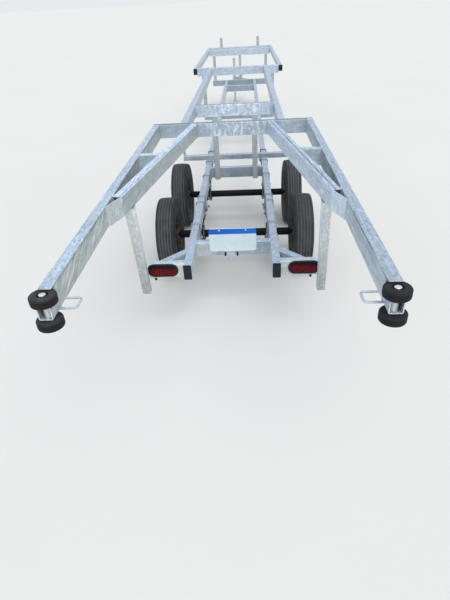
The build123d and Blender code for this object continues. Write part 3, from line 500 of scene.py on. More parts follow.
def round_joint(axis, x, y, z, width, height):
    """The bead round a rectangle with cut corners, square to an axis and centred on x, y, z. Its width lies
    level and its height upright, or forward where the axis is z."""
    a, b = width / 2, height / 2
    right = [(a - JOINT_CORNER, -b), (a, -b + JOINT_CORNER), (a, b - JOINT_CORNER), (a - JOINT_CORNER, b)]
    number = "xyz".index(axis)
    ring = np.zeros((8, 3))
    level, upright = [other for other in range(3) if other != number]
    ring[:, [level, upright]] = right + [(-across, -up) for across, up in right]
    return bead(ring + (x, y, z), np.eye(3)[number])


TUBE_W, TUBE_H, SIDE_H, TONGUE_W = 50.8, 101.6, 76.2, 76.2
HALF = TUBE_W / 2
LOW, UP = 389.0, 974.0
LOW_MID, LOW_TOP = LOW + TUBE_H / 2, LOW + TUBE_H
UP_MID, UP_TOP = UP + TUBE_H / 2, UP + TUBE_H
SIDE_MID = UP_TOP - SIDE_H / 2
RAIL_X, UPPER_RAIL_X, ARM_X = 280.5, 381.6, 591.2
RAIL_IN, RAIL_OUT = RAIL_X - HALF, RAIL_X + HALF
ARM_IN = ARM_X - HALF
LADDER_POST_X, MID_POST_X, PORTAL_POST_X, STOP_POST_X = 183.0, 480.0, 508.0, 355.0
# Rear faces of the cross members, from the arms' tips to the platform.
TIP_Y, WING_Y, REAR_MEMBER_Y, TIE_Y, REAR_BAR_Y = -4880.0, -3705.0, -3417.0, -3359.0, -2540.0
SECOND_BAR_Y, LADDER_Y, OUTRIGGER_Y, MID_Y = -1832.0, -1781.2, -1525.0, 825.0
FRONT_MEMBER_Y, PLATFORM_Y, PORTAL_Y = 3175.0, 3425.0, 3905.0
LEG_HEAD_X, LEG_HEAD_Y = 517.0, -3950.0
# The inner arm's weld along the outer arm starts here, and the gusset's two upright edges stand here.
INNER_WELD_Y = -4020.0
GUSSET_EDGES = ((ARM_IN - 0.5, -4195.0), (516.5, -4064.0))
# Each row is the axis, x, y, z, width and height of a joint that both sides of the trailer have.
LOWER_JOINTS = [
    ("x", RAIL_IN, REAR_MEMBER_Y + HALF, LOW_MID, TUBE_W, TUBE_H),
    ("x", RAIL_IN, LADDER_Y + HALF, LOW_MID, TUBE_W, TUBE_H),
    ("x", RAIL_IN, MID_Y + HALF, LOW_MID, TUBE_W, TUBE_H),
    ("x", RAIL_OUT, MID_Y + HALF, LOW_MID, TUBE_W, TUBE_H),
    ("x", RAIL_IN, FRONT_MEMBER_Y + HALF, LOW_MID, TUBE_W, TUBE_H),
    ("x", RAIL_OUT, WING_Y + HALF, LOW_MID, TUBE_W, TUBE_H),
    ("y", RAIL_X, PORTAL_Y, LOW_MID, TUBE_W, TUBE_H),
    ("z", MID_POST_X, MID_Y + HALF, LOW_TOP, TUBE_W, TUBE_W),
    ("z", PORTAL_POST_X, PORTAL_Y + HALF, LOW_TOP, TUBE_W, TUBE_W),
    ("z", RAIL_X, OUTRIGGER_Y + HALF, LOW_TOP, TUBE_W, TUBE_W),
]
UPPER_JOINTS = [
    ("y", ARM_X, REAR_BAR_Y, UP_MID, TUBE_W, TUBE_H),
    ("y", UPPER_RAIL_X, REAR_BAR_Y + TUBE_W, UP_MID, TUBE_W, TUBE_H),
    ("x", UPPER_RAIL_X - HALF, SECOND_BAR_Y + HALF, UP_MID, TUBE_W, TUBE_H),
    ("y", UPPER_RAIL_X, MID_Y, UP_MID, TUBE_W, TUBE_H),
    ("x", ARM_IN, MID_Y + HALF, SIDE_MID, TUBE_W, SIDE_H),
    ("x", ARM_IN, PLATFORM_Y + HALF, SIDE_MID, TUBE_W, SIDE_H),
    ("x", ARM_IN, PORTAL_Y + HALF, SIDE_MID, TUBE_W, SIDE_H),
    ("x", ARM_IN, TIE_Y + HALF, UP_MID, TUBE_W, TUBE_H),
    ("z", STOP_POST_X, PORTAL_Y + HALF, UP_TOP, TUBE_W, TUBE_W),
    ("z", LADDER_POST_X, SECOND_BAR_Y + HALF, UP, TUBE_W, TUBE_W),
    ("z", MID_POST_X, MID_Y + HALF, UP, TUBE_W, TUBE_W),
    ("z", PORTAL_POST_X, PORTAL_Y + HALF, UP, TUBE_W, TUBE_W),
    ("y", ARM_X, TIP_Y, UP + HALF, TUBE_W, TUBE_W),
    ("z", LEG_HEAD_X, LEG_HEAD_Y, UP, 52.0, 56.0),
]
MIDDLE_JOINTS = [
    ("y", 0.0, PORTAL_Y + TUBE_W, LOW_MID, TONGUE_W, TUBE_H),
    ("z", 0.0, PORTAL_Y + HALF, LOW_TOP, TUBE_W, TUBE_W),
    ("z", 0.0, PORTAL_Y + HALF, UP, TUBE_W, TUBE_W),
]


def both_sides(joints):
    """The beads of these joints, on the left and on the right."""
    return [round_joint(axis, hand * x, *rest) for axis, x, *rest in joints for hand in (-1, 1)]


def inner_arm_x(y, edge):
    """x of the right inner arm's face at y: its middle line + edge * half its level width. edge is -1 for the
    face that looks inwards and 1 for the other."""
    return SPLAY_START[0] + (SPLAY_START[1] - y) * SPLAY + edge * HALF * math.hypot(1, SPLAY)


def upright_bead(x, y, low=UP, high=UP_TOP):
    """A bead straight up at x, y."""
    return bead([(x, y, low), (x, y, high)], (0, 1, 0), False)


def level_bead(start, end, z):
    """A bead from one x, y to another at the height z."""
    return bead([(*start, z), (*end, z)], (0, 0, 1), False)


arm_beads = []
for hand in (-1, 1):
    near, far = hand * inner_arm_x(REAR_BAR_Y, -1), hand * inner_arm_x(REAR_BAR_Y, 1)
    arm_beads += [upright_bead(near, REAR_BAR_Y), upright_bead(far, REAR_BAR_Y)]
    arm_beads += [level_bead((near, REAR_BAR_Y), (far, REAR_BAR_Y), z) for z in (UP_TOP, UP)]
    wall = hand * (ARM_IN - 1)
    arm_beads += [level_bead((wall, INNER_WELD_Y), (wall, SPLAY_END[1]), z) for z in (UP + 1, UP_TOP - 1)]
    arm_beads.append(upright_bead(hand * (ARM_IN - 0.5), SPLAY_END[1]))
    arm_beads += [upright_bead(hand * inner_arm_x(y, 1), y) for y in (TIE_Y, TIE_Y + TUBE_W)]
    arm_beads += [upright_bead(hand * x, y, UP + 8, UP_TOP - 8) for x, y in GUSSET_EDGES]
middle_beads = [round_joint(*joint) for joint in MIDDLE_JOINTS]
upper_beads = both_sides(UPPER_JOINTS) + middle_beads + arm_beads
piece("weld_beads_lower", both_sides(LOWER_JOINTS), zinc_small, "chassis")
piece("weld_beads_upper", upper_beads, zinc_small, "chassis")


# Rear legs. Square galvanised tubes that lean from below the lamp wings back up to the arms. Both ends are
# cut level, and the foot is open. They are as narrow as the posts.
LEG_FOOT = np.array((570.0, -3676.0, 270.0))
LEG_HEAD = np.array((LEG_HEAD_X, LEG_HEAD_Y, UP))
LEG_WALL, LEG_CORNER = 4.8, 6.0


def rounded_outline(width, height, radius, steps=6):
    """A rectangle with round corners round its middle, anticlockwise, as (across, up) pairs."""
    turn = np.linspace(0, np.pi / 2, steps)
    corner = radius * np.stack([np.cos(turn) - 1, np.sin(turn) - 1], -1) + (width / 2, height / 2)
    mirrored = corner[::-1] * (-1, 1)
    return np.concatenate([corner, mirrored, -corner, -mirrored])


def leaning_tube(foot, head, width, wall):
    """A square tube from foot to head, cut level at both ends."""
    axis = (head - foot) / np.linalg.norm(head - foot)
    side = np.array((1.0, 0.0, -axis[0] / axis[2]))
    side /= np.linalg.norm(side)
    depth = np.cross(axis, side)
    rows = []
    for end, inset in ((foot, 0.0), (head, 0.0), (head, wall), (foot, wall)):
        outline = rounded_outline(width - 2 * inset, width - 2 * inset, LEG_CORNER - inset * 0.6)
        points = end + outline[:, :1] * side + outline[:, 1:] * depth
        rows.append(points + (end[2] - points[:, 2:]) / axis[2] * axis)
    return grid(np.array(rows), rows_closed=True, columns_closed=True)


legs = []
for hand in (-1, 1):
    side = (hand, 1, 1)
    legs.append(leaning_tube(LEG_FOOT * side, LEG_HEAD * side, TUBE_W, LEG_WALL))
piece("rear_leg_tubes", legs, zinc_leg, "chassis", ("rear_legs",))


# Square U-bolts. Threaded rod bent over each lower rail holds the spring hangers up against it.
# The legs pass a clamp plate under the rail and take a washer and a nut each.
def lathe(profile, centre, axis, steps, turned=0.0):
    """Turns a profile of (along, radius) pairs round an axis:
    centre + along*axis + radius*(cos t*u + sin t*v)."""
    profile = np.asarray(profile, float)
    axis = np.asarray(axis, float) / np.linalg.norm(axis)
    u = np.cross(axis, (0, 0, 1) if abs(axis[2]) < 0.9 else (1, 0, 0))
    u /= np.linalg.norm(u)
    v = np.cross(axis, u)
    turn = (np.arange(steps) * 2 * np.pi / steps + turned)[None, :, None]
    round_it = profile[:, 1, None, None] * (np.cos(turn) * u + np.sin(turn) * v)
    return grid(np.asarray(centre, float) + profile[:, 0, None, None] * axis + round_it, columns_closed=True)


def nut(centre, axis, flats, high):
    """A hexagon with chamfered corners, closed at both ends: a lathe of six steps."""
    r = flats / math.sqrt(3)
    side = [(0, 0), (0, r * 0.93), (high * 0.12, r), (high * 0.86, r), (high, r * 0.9), (high, 0)]
    return lathe(side, centre, axis, 6)


def washer(centre, axis, radius, thick=2.2):
    """A disc with a soft upper edge."""
    side = [(0, 0), (0, radius), (thick * 0.8, radius), (thick, radius * 0.97), (thick, 0)]
    return lathe(side, centre, axis, 24)


def bolt(centre, axis, flats=17.0):
    """A washer, a hexagon head on it and the end of the shank past it."""
    centre = np.asarray(centre, float)
    axis = np.asarray(axis, float)
    r, end = flats * 0.3, flats * 0.8
    shank = lathe([(0, 0), (0, r), (flats * 0.75, r), (end, flats * 0.26), (end, 0)], centre, axis, 12)
    return [washer(centre, axis, flats * 0.62), nut(centre + axis * 2.0, axis, flats, flats * 0.6), shank]


def bent_rod(corners, normal, radius, bend, sides=12, steps=7):
    """A round rod through corners, each rounded by an arc of radius bend that touches both runs."""
    corners = np.asarray(corners, float)
    path = [corners[:1]]
    for before, corner, after in zip(corners[:-2], corners[1:-1], corners[2:]):
        back = (before - corner) / np.linalg.norm(before - corner)
        on = (after - corner) / np.linalg.norm(after - corner)
        half = math.acos(np.clip(back @ on, -1, 1)) / 2
        reach = bend / math.tan(half)
        middle = corner + (back + on) / np.linalg.norm(back + on) * bend / math.sin(half)
        start, end = corner + back * reach - middle, corner + on * reach - middle
        share = np.linspace(0, 1, steps)[:, None]
        angle = math.pi - 2 * half
        arc = start * np.sin((1 - share) * angle) + end * np.sin(share * angle)
        path.append(middle + arc / math.sin(angle))
    path.append(corners[-1:])
    turn = np.arange(sides) * 2 * np.pi / sides
    return swept(np.concatenate(path), normal, radius * np.stack([np.cos(turn), np.sin(turn)], -1))


def arch(x, y, half, foot, top):
    """Four corners of a path up, over and down again at y, half to each side of x."""
    return [(x - half, y, foot), (x - half, y, top), (x + half, y, top), (x + half, y, foot)]


def stacked(rows):
    """A closed body through outlines of points, with a face over the first and over the last one."""
    return grid(np.array(rows), columns_closed=True, ends=True)


def flat_plate(x, y, length, width, low, high):
    """A level plate centred on x and y, between two heights."""
    outline = np.array([(-1, -1), (1, -1), (1, 1), (-1, 1)]) * (length / 2, width / 2) + (x, y)
    return stacked([np.column_stack([outline, np.full(4, z)]) for z in (low, high)])


BRIGHT_YS = (-3109.0, -2679.0, -2544.0, -1999.0, -1569.0)
DARK_YS = (-1214.0,)
ROD_R, ROD_BEND, ROD_END = 5.0, 9, 26
CLAMP_LENGTH, CLAMP_WIDTH, CLAMP_LOW, CLAMP_TOP = 88.8, 30, LOW - 8.5, LOW - 0.5
WASHER_R, NUT_FLATS, NUT_HIGH = 10.5, 17.0, 8.5


def square_u_bolts(places):
    """At each y, on both rails: the bent rod, its clamp plate, and a washer and a nut on each leg."""
    shapes = []
    for hand in (-1, 1):
        for y in places:
            rail, half = hand * RAIL_X, HALF + ROD_R
            path = arch(rail, y, half, LOW - ROD_END, LOW_TOP + ROD_R)
            shapes.append(bent_rod(path, (0, 1, 0), ROD_R, ROD_BEND))
            shapes.append(flat_plate(rail, y, CLAMP_LENGTH, CLAMP_WIDTH, CLAMP_LOW, CLAMP_TOP))
            for x in (rail - half, rail + half):
                shapes.append(washer((x, y, CLAMP_LOW), (0, 0, -1), WASHER_R))
                shapes.append(nut((x, y, CLAMP_LOW - 2), (0, 0, -1), NUT_FLATS, NUT_HIGH))
    return shapes


# Painted shade: both zincs here are darkened copies of the plain zinc. The rods paint the shadow lines across
# the rails, and the darker zinc also paints the shade on the fittings under the trailer and on the rods at
# DARK_YS.
SHADED_ROD = (0.125, 0.14, 0.17, 1)
shaded_zinc = zinc("shaded_zinc_rod", (0.15, 0.17, 0.21, 1), SHADED_ROD, SHADED_ROD, SHADED_ROD, fleck=0.4)
GREY = (0.27, 0.31, 0.36, 1)
grey_zinc = zinc("grey_zinc_rod", (0.32, 0.37, 0.43, 1), GREY, GREY, GREY, fleck=0.3)
piece("rail_u_bolts", square_u_bolts(BRIGHT_YS), grey_zinc, "chassis", ("rail_straps",))
piece("rail_u_bolts_dark", square_u_bolts(DARK_YS), shaded_zinc, "chassis")


# Axles, springs and equalisers. Black painted steel: a round axle tube, packs of four leaves with rolled
# eyes, and a rocking equaliser between the two packs of a side. The paint is thin, and chipped at places.
def black_paint(name, colour, dust):
    """Black paint, lifted to dust where the face tips up and a noise allows it, with small chips of rust."""
    made, shader, at, normal = new_finish(name, Metallic=0.0, Specular_IOR_Level=0.1)
    tipped = normal.part(2).within(0.1, 1.0)
    dusty = tipped * at.noise(25, 5, 0.65).within(0.35, 0.8) * 0.6 + at.noise(12, 3).within(0.55, 0.9) * 0.15
    chips = at.noise(95, 4, 0.7).within(0.66, 0.70)
    chips.blend(dusty.blend(colour, dust), (0.12, 0.055, 0.03, 1)).into(shader, "Base Color")
    (0.42 + dusty * 0.4 + chips * 0.3).into(shader, "Roughness")
    (at.noise(180, 3) * 0.4 - chips * 0.6).relief(shader, 0.35, 0.0008)
    return made


BLACK = (0.006, 0.007, 0.009, 1)
DUST = (0.018, 0.020, 0.024, 1)
axle_black = black_paint("axle_black", BLACK, DUST)
dress({"axles": axle_black, "leaf_springs": axle_black, "equalisers": axle_black})
AXLE_YS = (-2849.0, -1961.0)
HUB_Z = 293.0
SPRING_TOP, LEAF_W = 351.0, 44.0
CLIP_REACH, CLIP_FOOT, CLIP_CLEAR = 185.0, 334.0, 2.5
CLIP_SECTION = np.array([(-2, -9), (2, -9), (2, 9), (-2, 9)])
# Each row is a pin's y and z, and how far its bolt heads sit out from the spring's side.
PINS = (
    (-3149.0, 366.0, 11.5),
    (-2405.0, 344.0, 11.5),
    (-1661.0, 366.0, 11.5),
    (-2549.0, 366.0, 5.8),
    (-2261.0, 366.0, 5.8),
)
spring_fittings = []
for hand in (-1, 1):
    for y in AXLE_YS:
        for end in (-CLIP_REACH, CLIP_REACH):
            path = arch(hand * RAIL_X, y + end, LEAF_W / 2 + CLIP_CLEAR, CLIP_FOOT, SPRING_TOP + 7)
            spring_fittings.append(swept(path, (0, 1, 0), CLIP_SECTION))
    for y, z, reach in PINS:
        for out in (-1, 1):
            head = (hand * RAIL_X + out * (LEAF_W / 2 + reach), y, z)
            spring_fittings += bolt(head, (out, 0, 0), 19.0)
piece("spring_clips_and_bolts", spring_fittings, shaded_zinc, "chassis")

# Under each axle: a seat plate, and two rods bent over the spring that pass it at both sides.
SEAT_LENGTH, SEAT_WIDTH, SEAT_LOW, SEAT_TOP = 84, 110, 254.0, 263.0
AXLE_ROD_R, AXLE_ROD_BEND, AXLE_ROD_END, AXLE_ROD_Y = 5.5, 10, 238, 37.0
AXLE_ROD_HALF = LEAF_W / 2 + 6.5
axle_u_bolts = []
for hand in (-1, 1):
    rail = hand * RAIL_X
    for y in AXLE_YS:
        axle_u_bolts.append(flat_plate(rail, y, SEAT_LENGTH, SEAT_WIDTH, SEAT_LOW, SEAT_TOP))
        for rod_y in (y - AXLE_ROD_Y, y + AXLE_ROD_Y):
            path = arch(rail, rod_y, AXLE_ROD_HALF, AXLE_ROD_END, SPRING_TOP + 6)
            axle_u_bolts.append(bent_rod(path, (0, 1, 0), AXLE_ROD_R, AXLE_ROD_BEND))
            for x in (rail - AXLE_ROD_HALF, rail + AXLE_ROD_HALF):
                axle_u_bolts.append(nut((x, rod_y, SEAT_LOW), (0, 0, -1), 18.0, 9.0))
        axle_u_bolts.append(nut((rail, y, SPRING_TOP), (0, 0, 1), 15.0, 7.0))
piece("axle_u_bolts", axle_u_bolts, shaded_zinc, "chassis", ("axle_clamps",))


# Tyres. Black rubber of six ribs parted by five straight grooves, lugged shoulders and smooth sidewalls with
# two fine ribs. They are dusty: the tread's ribs read dark grey, and pale dust lies in the grooves.
def rubber(name, colour, dust, dusty_at, grooves=()):
    """Rubber that goes over to dust with a cloudy noise. Pale dust also lies where the distance from a
    wheel's middle plane is within 3 mm of a groove's. Painted shade darkens the tread towards both of its
    edges, most towards the inner one."""
    made, shader, at, _ = new_finish(name, Metallic=0.0, Specular_IOR_Level=0.18)
    cloud = at.noise(14, 5, 0.65).within(0.3, 0.8) * dusty_at + at.noise(120, 3).within(0.45, 0.75) * 0.12
    if grooves:
        across = at.part(0).absolute() - WHEEL_X / 1000
        for groove in grooves:
            near = (across - groove / 1000).absolute().within(0.0044, 0.0026)
            cloud = cloud + near * at.noise(9, 3).within(0.20, 0.55) * 1.5
        # Painted shade: the tread is darkened towards its edges, most on the inner one.
        cloud = cloud * (1 - (across.within(-0.020, -0.058) * 0.62 + across.within(0.035, 0.062) * 0.30))
    cloud.blend(colour, dust).into(shader, "Base Color")
    (0.62 + cloud * 0.3).within(0, 1).into(shader, "Roughness")
    at.noise(420, 2).relief(shader, 0.25, 0.0006)
    return made


WHEEL_X, WHEEL_R = 522.0, 293.0
TREAD_HALF = 60.0
GROOVES = (-44.0, -22.0, 0.0, 22.0, 44.0)
GROOVE_HALF, GROOVE_DEEP = 2.8, 6.0
CROWN_DROP = 4.5
# Points that the sidewall's arc and the shoulder's arc pass through.
WALL_ARC = ((52.7, 169), (76.4, 241), (72.0, 275))
SHOULDER_ARC = ((72.0, 275), (69.0, 284), (TREAD_HALF, 288.5))
# The lugs lie round this distance from the tyre's middle plane, outside this radius.
SHOULDER_LUGS, LUG_DEEP, LUG_AT, LUG_WIDTH, LUG_LOWEST = 72, 3.0, 68, 6, 272
# Two fine ribs stand out of each sidewall.
RIB_RADII, RIB_HIGH, RIB_WIDTH = (254, 196), 0.8, 2.2
BEAD_SEAT_X, BEAD_SEAT_R = 50.0, 162.0
TYRE_STEPS = 288
tyre_rubber = rubber("tyre_rubber", (0.022, 0.024, 0.028, 1), (0.17, 0.175, 0.185, 1), 0.38, GROOVES)


def arc_through(first, middle, last, steps):
    """Points on the circle through three points: its centre lies as far from each of them, and the angles
    are evenly spaced."""
    three = np.array([first, middle, last], float)
    squares = (three ** 2).sum(axis=1)
    centre = np.linalg.solve(2 * np.diff(three, axis=0), np.diff(squares))
    spokes = three - centre
    angles = np.unwrap(np.arctan2(spokes[:, 1], spokes[:, 0]))
    turn = np.linspace(angles[0], angles[2], steps)
    return centre + np.linalg.norm(spokes[0]) * np.stack([np.cos(turn), np.sin(turn)], -1)


def ridge(values, place, width):
    """1 at place, falling off as exp(-((v - place) / width)^2)."""
    return np.exp(-(((values - place) / width) ** 2))


def tyre_skin(centre, out):
    """Rows follow the cross-section from bead to bead, and columns go round. The tread drops GROOVE_DEEP in
    each groove, and the shoulder drops LUG_DEEP in the wider part of its lug pitch."""
    wall = arc_through(*WALL_ARC, 18)
    shoulder = arc_through(*SHOULDER_ARC, 7)[1:]
    edges = np.array([GROOVE_HALF + 1.0, GROOVE_HALF, GROOVE_HALF * 0.8])
    edges = np.concatenate([edges, -edges[::-1]])
    crown_x = (np.array(GROOVES)[::-1, None] + edges).ravel()
    crown_r = WHEEL_R - CROWN_DROP * (np.abs(crown_x) / TREAD_HALF) ** 2.2
    in_groove = np.min(np.abs(crown_x[:, None] - np.array(GROOVES)), axis=1) < GROOVE_HALF * 0.9
    crown = np.stack([crown_x, crown_r - GROOVE_DEEP * in_groove], -1)
    other = np.concatenate([wall, shoulder])[::-1] * (-1, 1)
    seat = np.array([(BEAD_SEAT_X, BEAD_SEAT_R)])
    section = np.concatenate([seat, wall, shoulder, crown, other, seat * (-1, 1)])
    across, radius = section[:, 0], section[:, 1]
    turn = np.arange(TYRE_STEPS) * 2 * np.pi / TYRE_STEPS
    lug = (np.sin(turn * SHOULDER_LUGS) > 0.2).astype(float)
    on_shoulder = ridge(np.abs(across), LUG_AT, LUG_WIDTH) * (radius > LUG_LOWEST)
    ribs = RIB_HIGH * sum(ridge(radius, place, RIB_WIDTH) for place in RIB_RADII)
    radius = radius[:, None] - LUG_DEEP * on_shoulder[:, None] * lug
    x = (across + np.sign(across) * ribs)[:, None] * np.ones_like(turn)
    points = np.stack([out * x, radius * np.cos(turn), radius * np.sin(turn)], -1)
    return grid(points + np.array(centre), columns_closed=True, rows_closed=True)


WHEELS = (
    ("rear_left", -1, AXLE_YS[0]),
    ("rear_right", 1, AXLE_YS[0]),
    ("front_left", -1, AXLE_YS[1]),
    ("front_right", 1, AXLE_YS[1]),
)
for name, hand, y in WHEELS:
    skin = tyre_skin((hand * WHEEL_X, y, HUB_Z), hand)
    body = "wheel_" + name
    piece("treaded_tyre_" + name, [skin], tyre_rubber, body, ("tyre_" + name,), crease=40.0)


# Rims. Pressed steel wheels in silver paint: a welded barrel with rolled flanges, a dished disc with eight
# hand holes, five nuts on a 114 mm circle, a domed grease cap and a valve.
def silver_paint(name, colour):
    """Silver paint with brown road grime in a cloudy noise, painted shade in dark brown all over the inner
    side, and orange peel.
    """
    made, shader, at, _ = new_finish(name, Metallic=0.55, Coat_Weight=0.1)
    # Painted shade: the wheel's inner side, under the trailer, goes over to dark brown.
    inside = at.part(0).absolute().within(0.534, 0.516)
    dirt_and_shade = (at.noise(30, 5, 0.65).within(0.42, 0.8) * 0.55 + inside * 0.9).within(0, 1)
    dirt_and_shade.blend(colour, (0.055, 0.046, 0.038, 1)).into(shader, "Base Color")
    (0.38 + dirt_and_shade * 0.5).into(shader, "Roughness")
    at.noise(160, 2).relief(shader, 0.2, 0.0006)
    return made


# The slight warmth of this silver is a painted reflection of the grass.
rim_silver = silver_paint("rim_silver", (0.50, 0.48, 0.45, 1))
HAND_HOLES, HOLE_AT, HOLE_HALF, HOLE_ANGLE = 8, 104, 11.5, 0.17
DISC_MIDDLE, DISC_HALF, DISC_THICK, HOLE_LIP = 92, 44, 4.5, 2.2
DISC_FACE = np.array([(48, 12), (66, 12), (80, 17), (96, 22), (112, 20), (126, 16), (136, 14)], float)


def disc_with_holes(centre, out):
    """In each sector, rows run from the hole's oval edge to the sector's border and columns go round the
    hole. A point's way out along the axle is read from DISC_FACE at its radius, plus a lip at the hole."""
    pitch = 2 * np.pi / HAND_HOLES
    turn = np.arange(48) * 2 * np.pi / 48
    cos, sin = np.cos(turn), np.sin(turn)
    hole = np.stack([HOLE_AT + HOLE_HALF * cos, HOLE_ANGLE * sin], -1)
    square = np.maximum(np.abs(cos), np.abs(sin))
    border = np.stack([DISC_MIDDLE + DISC_HALF * cos / square, pitch / 2 * sin / square], -1)
    share = np.linspace(0, 1, 9)[:, None, None]
    flat = hole + (border - hole) * share ** 1.2
    radius = flat[..., 0]
    along = np.interp(radius, DISC_FACE[:, 0], DISC_FACE[:, 1]) + HOLE_LIP * ridge(share[..., 0] * 6, 0, 1)
    shapes = []
    for number in range(HAND_HOLES):
        angle = flat[..., 1] + number * pitch
        points = np.stack([out * along, radius * np.cos(angle), radius * np.sin(angle)], -1)
        both = np.concatenate([points, points[::-1] - (out * DISC_THICK, 0, 0)])
        shapes.append(grid(both + np.array(centre), columns_closed=True, rows_closed=True))
    return shapes


# The barrel's outer skin from one flange to the other, and its inner skin on the way back.
BARREL = [
    (61, 168), (57, 169.5), (53.5, 168), (53, 160), (50, 157), (34, 142), (28, 141),
    (-28, 141), (-34, 142), (-50, 157), (-53, 160), (-53.5, 168), (-57, 169.5), (-61, 168),
    (-60.5, 162), (-57, 153), (-50, 150), (-34, 135), (34, 135), (50, 150), (57, 153), (60.5, 162), (61, 168),
]
HUB = [(8, 0), (8, 50), (-1, 50), (-30, 46), (-64, 38), (-64, 17), (-64, 0)]
HUB_CAP = [(4, 49), (14, 49), (15, 34), (34, 33.5), (36, 32), (43, 28), (47.5, 18), (49, 0)]
STUD = [(0, 0), (0, 5.6), (19, 5.6), (20, 4.8), (20, 0)]
VALVE = [(0, 0), (0, 5), (10, 4.2), (12, 3.2), (24, 3.0), (24, 3.8), (31, 3.8), (31, 0)]
STUDS, STUD_CIRCLE, STUD_TURN, STUD_X = 5, 57.15, 0.3, 12
VALVE_AT, VALVE_TURN, VALVE_X = 146, 0.6, 38


def on_disc(centre, hand, out, radius, angle):
    """A place on the wheel's outer side."""
    return centre + (hand * out, radius * math.cos(angle), radius * math.sin(angle))


for name, hand, y in WHEELS:
    centre = np.array((hand * WHEEL_X, y, HUB_Z))
    outward = np.array((hand, 0.0, 0.0))
    shapes = disc_with_holes(centre, hand)
    shapes += [lathe(BARREL, centre, outward, 96), lathe(HUB, centre, outward, 48)]
    piece("pressed_rim_" + name, shapes, rim_silver, "wheel_" + name, ("rim_" + name,))
    nuts = [lathe(HUB_CAP, centre, outward, 40)]
    for number in range(STUDS):
        stud_at = on_disc(centre, hand, STUD_X, STUD_CIRCLE, 2 * np.pi * number / STUDS + STUD_TURN)
        nuts += [nut(stud_at, outward, 19.0, 15.0), lathe(STUD, stud_at, outward, 12)]
    nuts.append(lathe(VALVE, on_disc(centre, hand, VALVE_X, VALVE_AT, VALVE_TURN), outward, 12))
    piece("hub_cap_and_nuts_" + name, nuts, zinc_small, "wheel_" + name)


# Guide rollers. Solid black rubber rings with rounded edges, two on each arm tip, one above and one below
# the stub. Each turns on a zinc-plated pin whose head shows bright in a deep recess of the ring.
def worn_and_sheened_rubber(name):
    """Black rubber, greyer along its rounded edges, where a sheen is painted, and on its flat faces, partly
    from wear and partly a painted sheen, more so on the left side, with a painted highlight in a band 27 to
    36 mm from the pin's axis. The recess, nearer than 20 mm to the pin's axis, stays black."""
    made, shader, at, normal = new_finish(name, Metallic=0.0, Specular_IOR_Level=0.25)
    up = normal.part(2).absolute()
    x = at.part(0).absolute() - ARM_X / 1000
    y = at.part(1) - ROLLER_Y / 1000
    radius = x.maths("SQRT", x * x + y * y)
    left = 1 - right_side(at)
    edge = up.between(0.10, 0.35, 0.60, 0.92)
    face = up.within(0.85, 0.98) * radius.within(0.0195, 0.0215)
    ring = radius.between(0.027, 0.031, 0.031, 0.036)
    cloud = at.noise(46, 5, 0.65).within(0.36, 0.66)
    # Painted sheen on the rounded edges and a painted highlight in a band on the flat faces; the flat faces'
    # grey is partly wear.
    worn = face * (0.10 + left * 0.34) + edge * (0.14 + left * 0.16) + face * ring * 0.22
    worn = (worn * (0.45 + cloud * 0.85) + cloud * 0.07 * radius.within(0.021, 0.024)).within(0, 1)
    worn.blend((0.006, 0.0065, 0.009, 1), (0.095, 0.098, 0.112, 1)).into(shader, "Base Color")
    (0.58 + cloud * 0.2).into(shader, "Roughness")
    (at.noise(260, 3) + at.noise(40, 4, 0.7) * 1.5).relief(shader, 0.35, 0.0008)
    return made


ROLLER_Y, ROLLER_R, ROLLER_T, ROLLER_EDGE = -4935.0, 48.0, 36.0, 7.0
# The ring's skin lies this much inside the solid's faces.
RING_INSET = 0.2
# Along and radius: the deep recess, the flat lip round it and a fine groove in the flat face.
RECESS = [(5.8, 11.8), (5.6, 17.0), (4.8, 18.4), (1.2, 19.2)]
RECESS += [(0.2, 21.0), (0.2, 30.0), (0.9, 31.0), (0.2, 32.0)]
SEAM = [(ROLLER_T / 2 - 1.6, ROLLER_R - RING_INSET), (ROLLER_T / 2 - 0.6, ROLLER_R - 1.3)]
UPPER_ROLLER, LOWER_ROLLER = 1029.8, 933.0
ROLLERS = (
    ("upper_left", -1, UPPER_ROLLER),
    ("upper_right", 1, UPPER_ROLLER),
    ("lower_left", -1, LOWER_ROLLER),
    ("lower_right", 1, LOWER_ROLLER),
)
roller_rubber = worn_and_sheened_rubber("roller_rubber")


def roller_profile():
    """Along and radius round the ring: recess, quarter-round edge and half of the straight side with its
    seam, and then the same backwards."""
    turn = np.linspace(0, np.pi / 2, 9)
    along = RING_INSET + ROLLER_EDGE * (1 - np.cos(turn))
    radius = ROLLER_R - RING_INSET - ROLLER_EDGE * (1 - np.sin(turn))
    half = np.concatenate([RECESS, np.stack([along, radius], -1), SEAM])
    other = half[::-1] * (-1, 1) + (ROLLER_T, 0)
    return np.concatenate([half, other, half[:1]])


def on_pin(profile, hand, z, steps=32):
    """A lathe round the pin of the left or the right arm, upwards from z."""
    return lathe(profile, (hand * ARM_X, ROLLER_Y, z), (0, 0, 1), steps)


for name, hand, low in ROLLERS:
    ring = on_pin(roller_profile(), hand, low, 72)
    body = "guide_roller_" + name
    piece("rubber_ring_" + name, [ring], roller_rubber, body, ("roller_" + name,))


def bright_zinc(name, colour):
    """Electroplated zinc: bright and even, with a faint cloud in its roughness."""
    made, shader, at, _ = new_finish(name, Metallic=0.8)
    cloud = at.noise(55, 4)
    (0.9 + cloud * 0.2).shade(colour).into(shader, "Base Color")
    (0.22 + cloud * 0.2).into(shader, "Roughness")
    return made


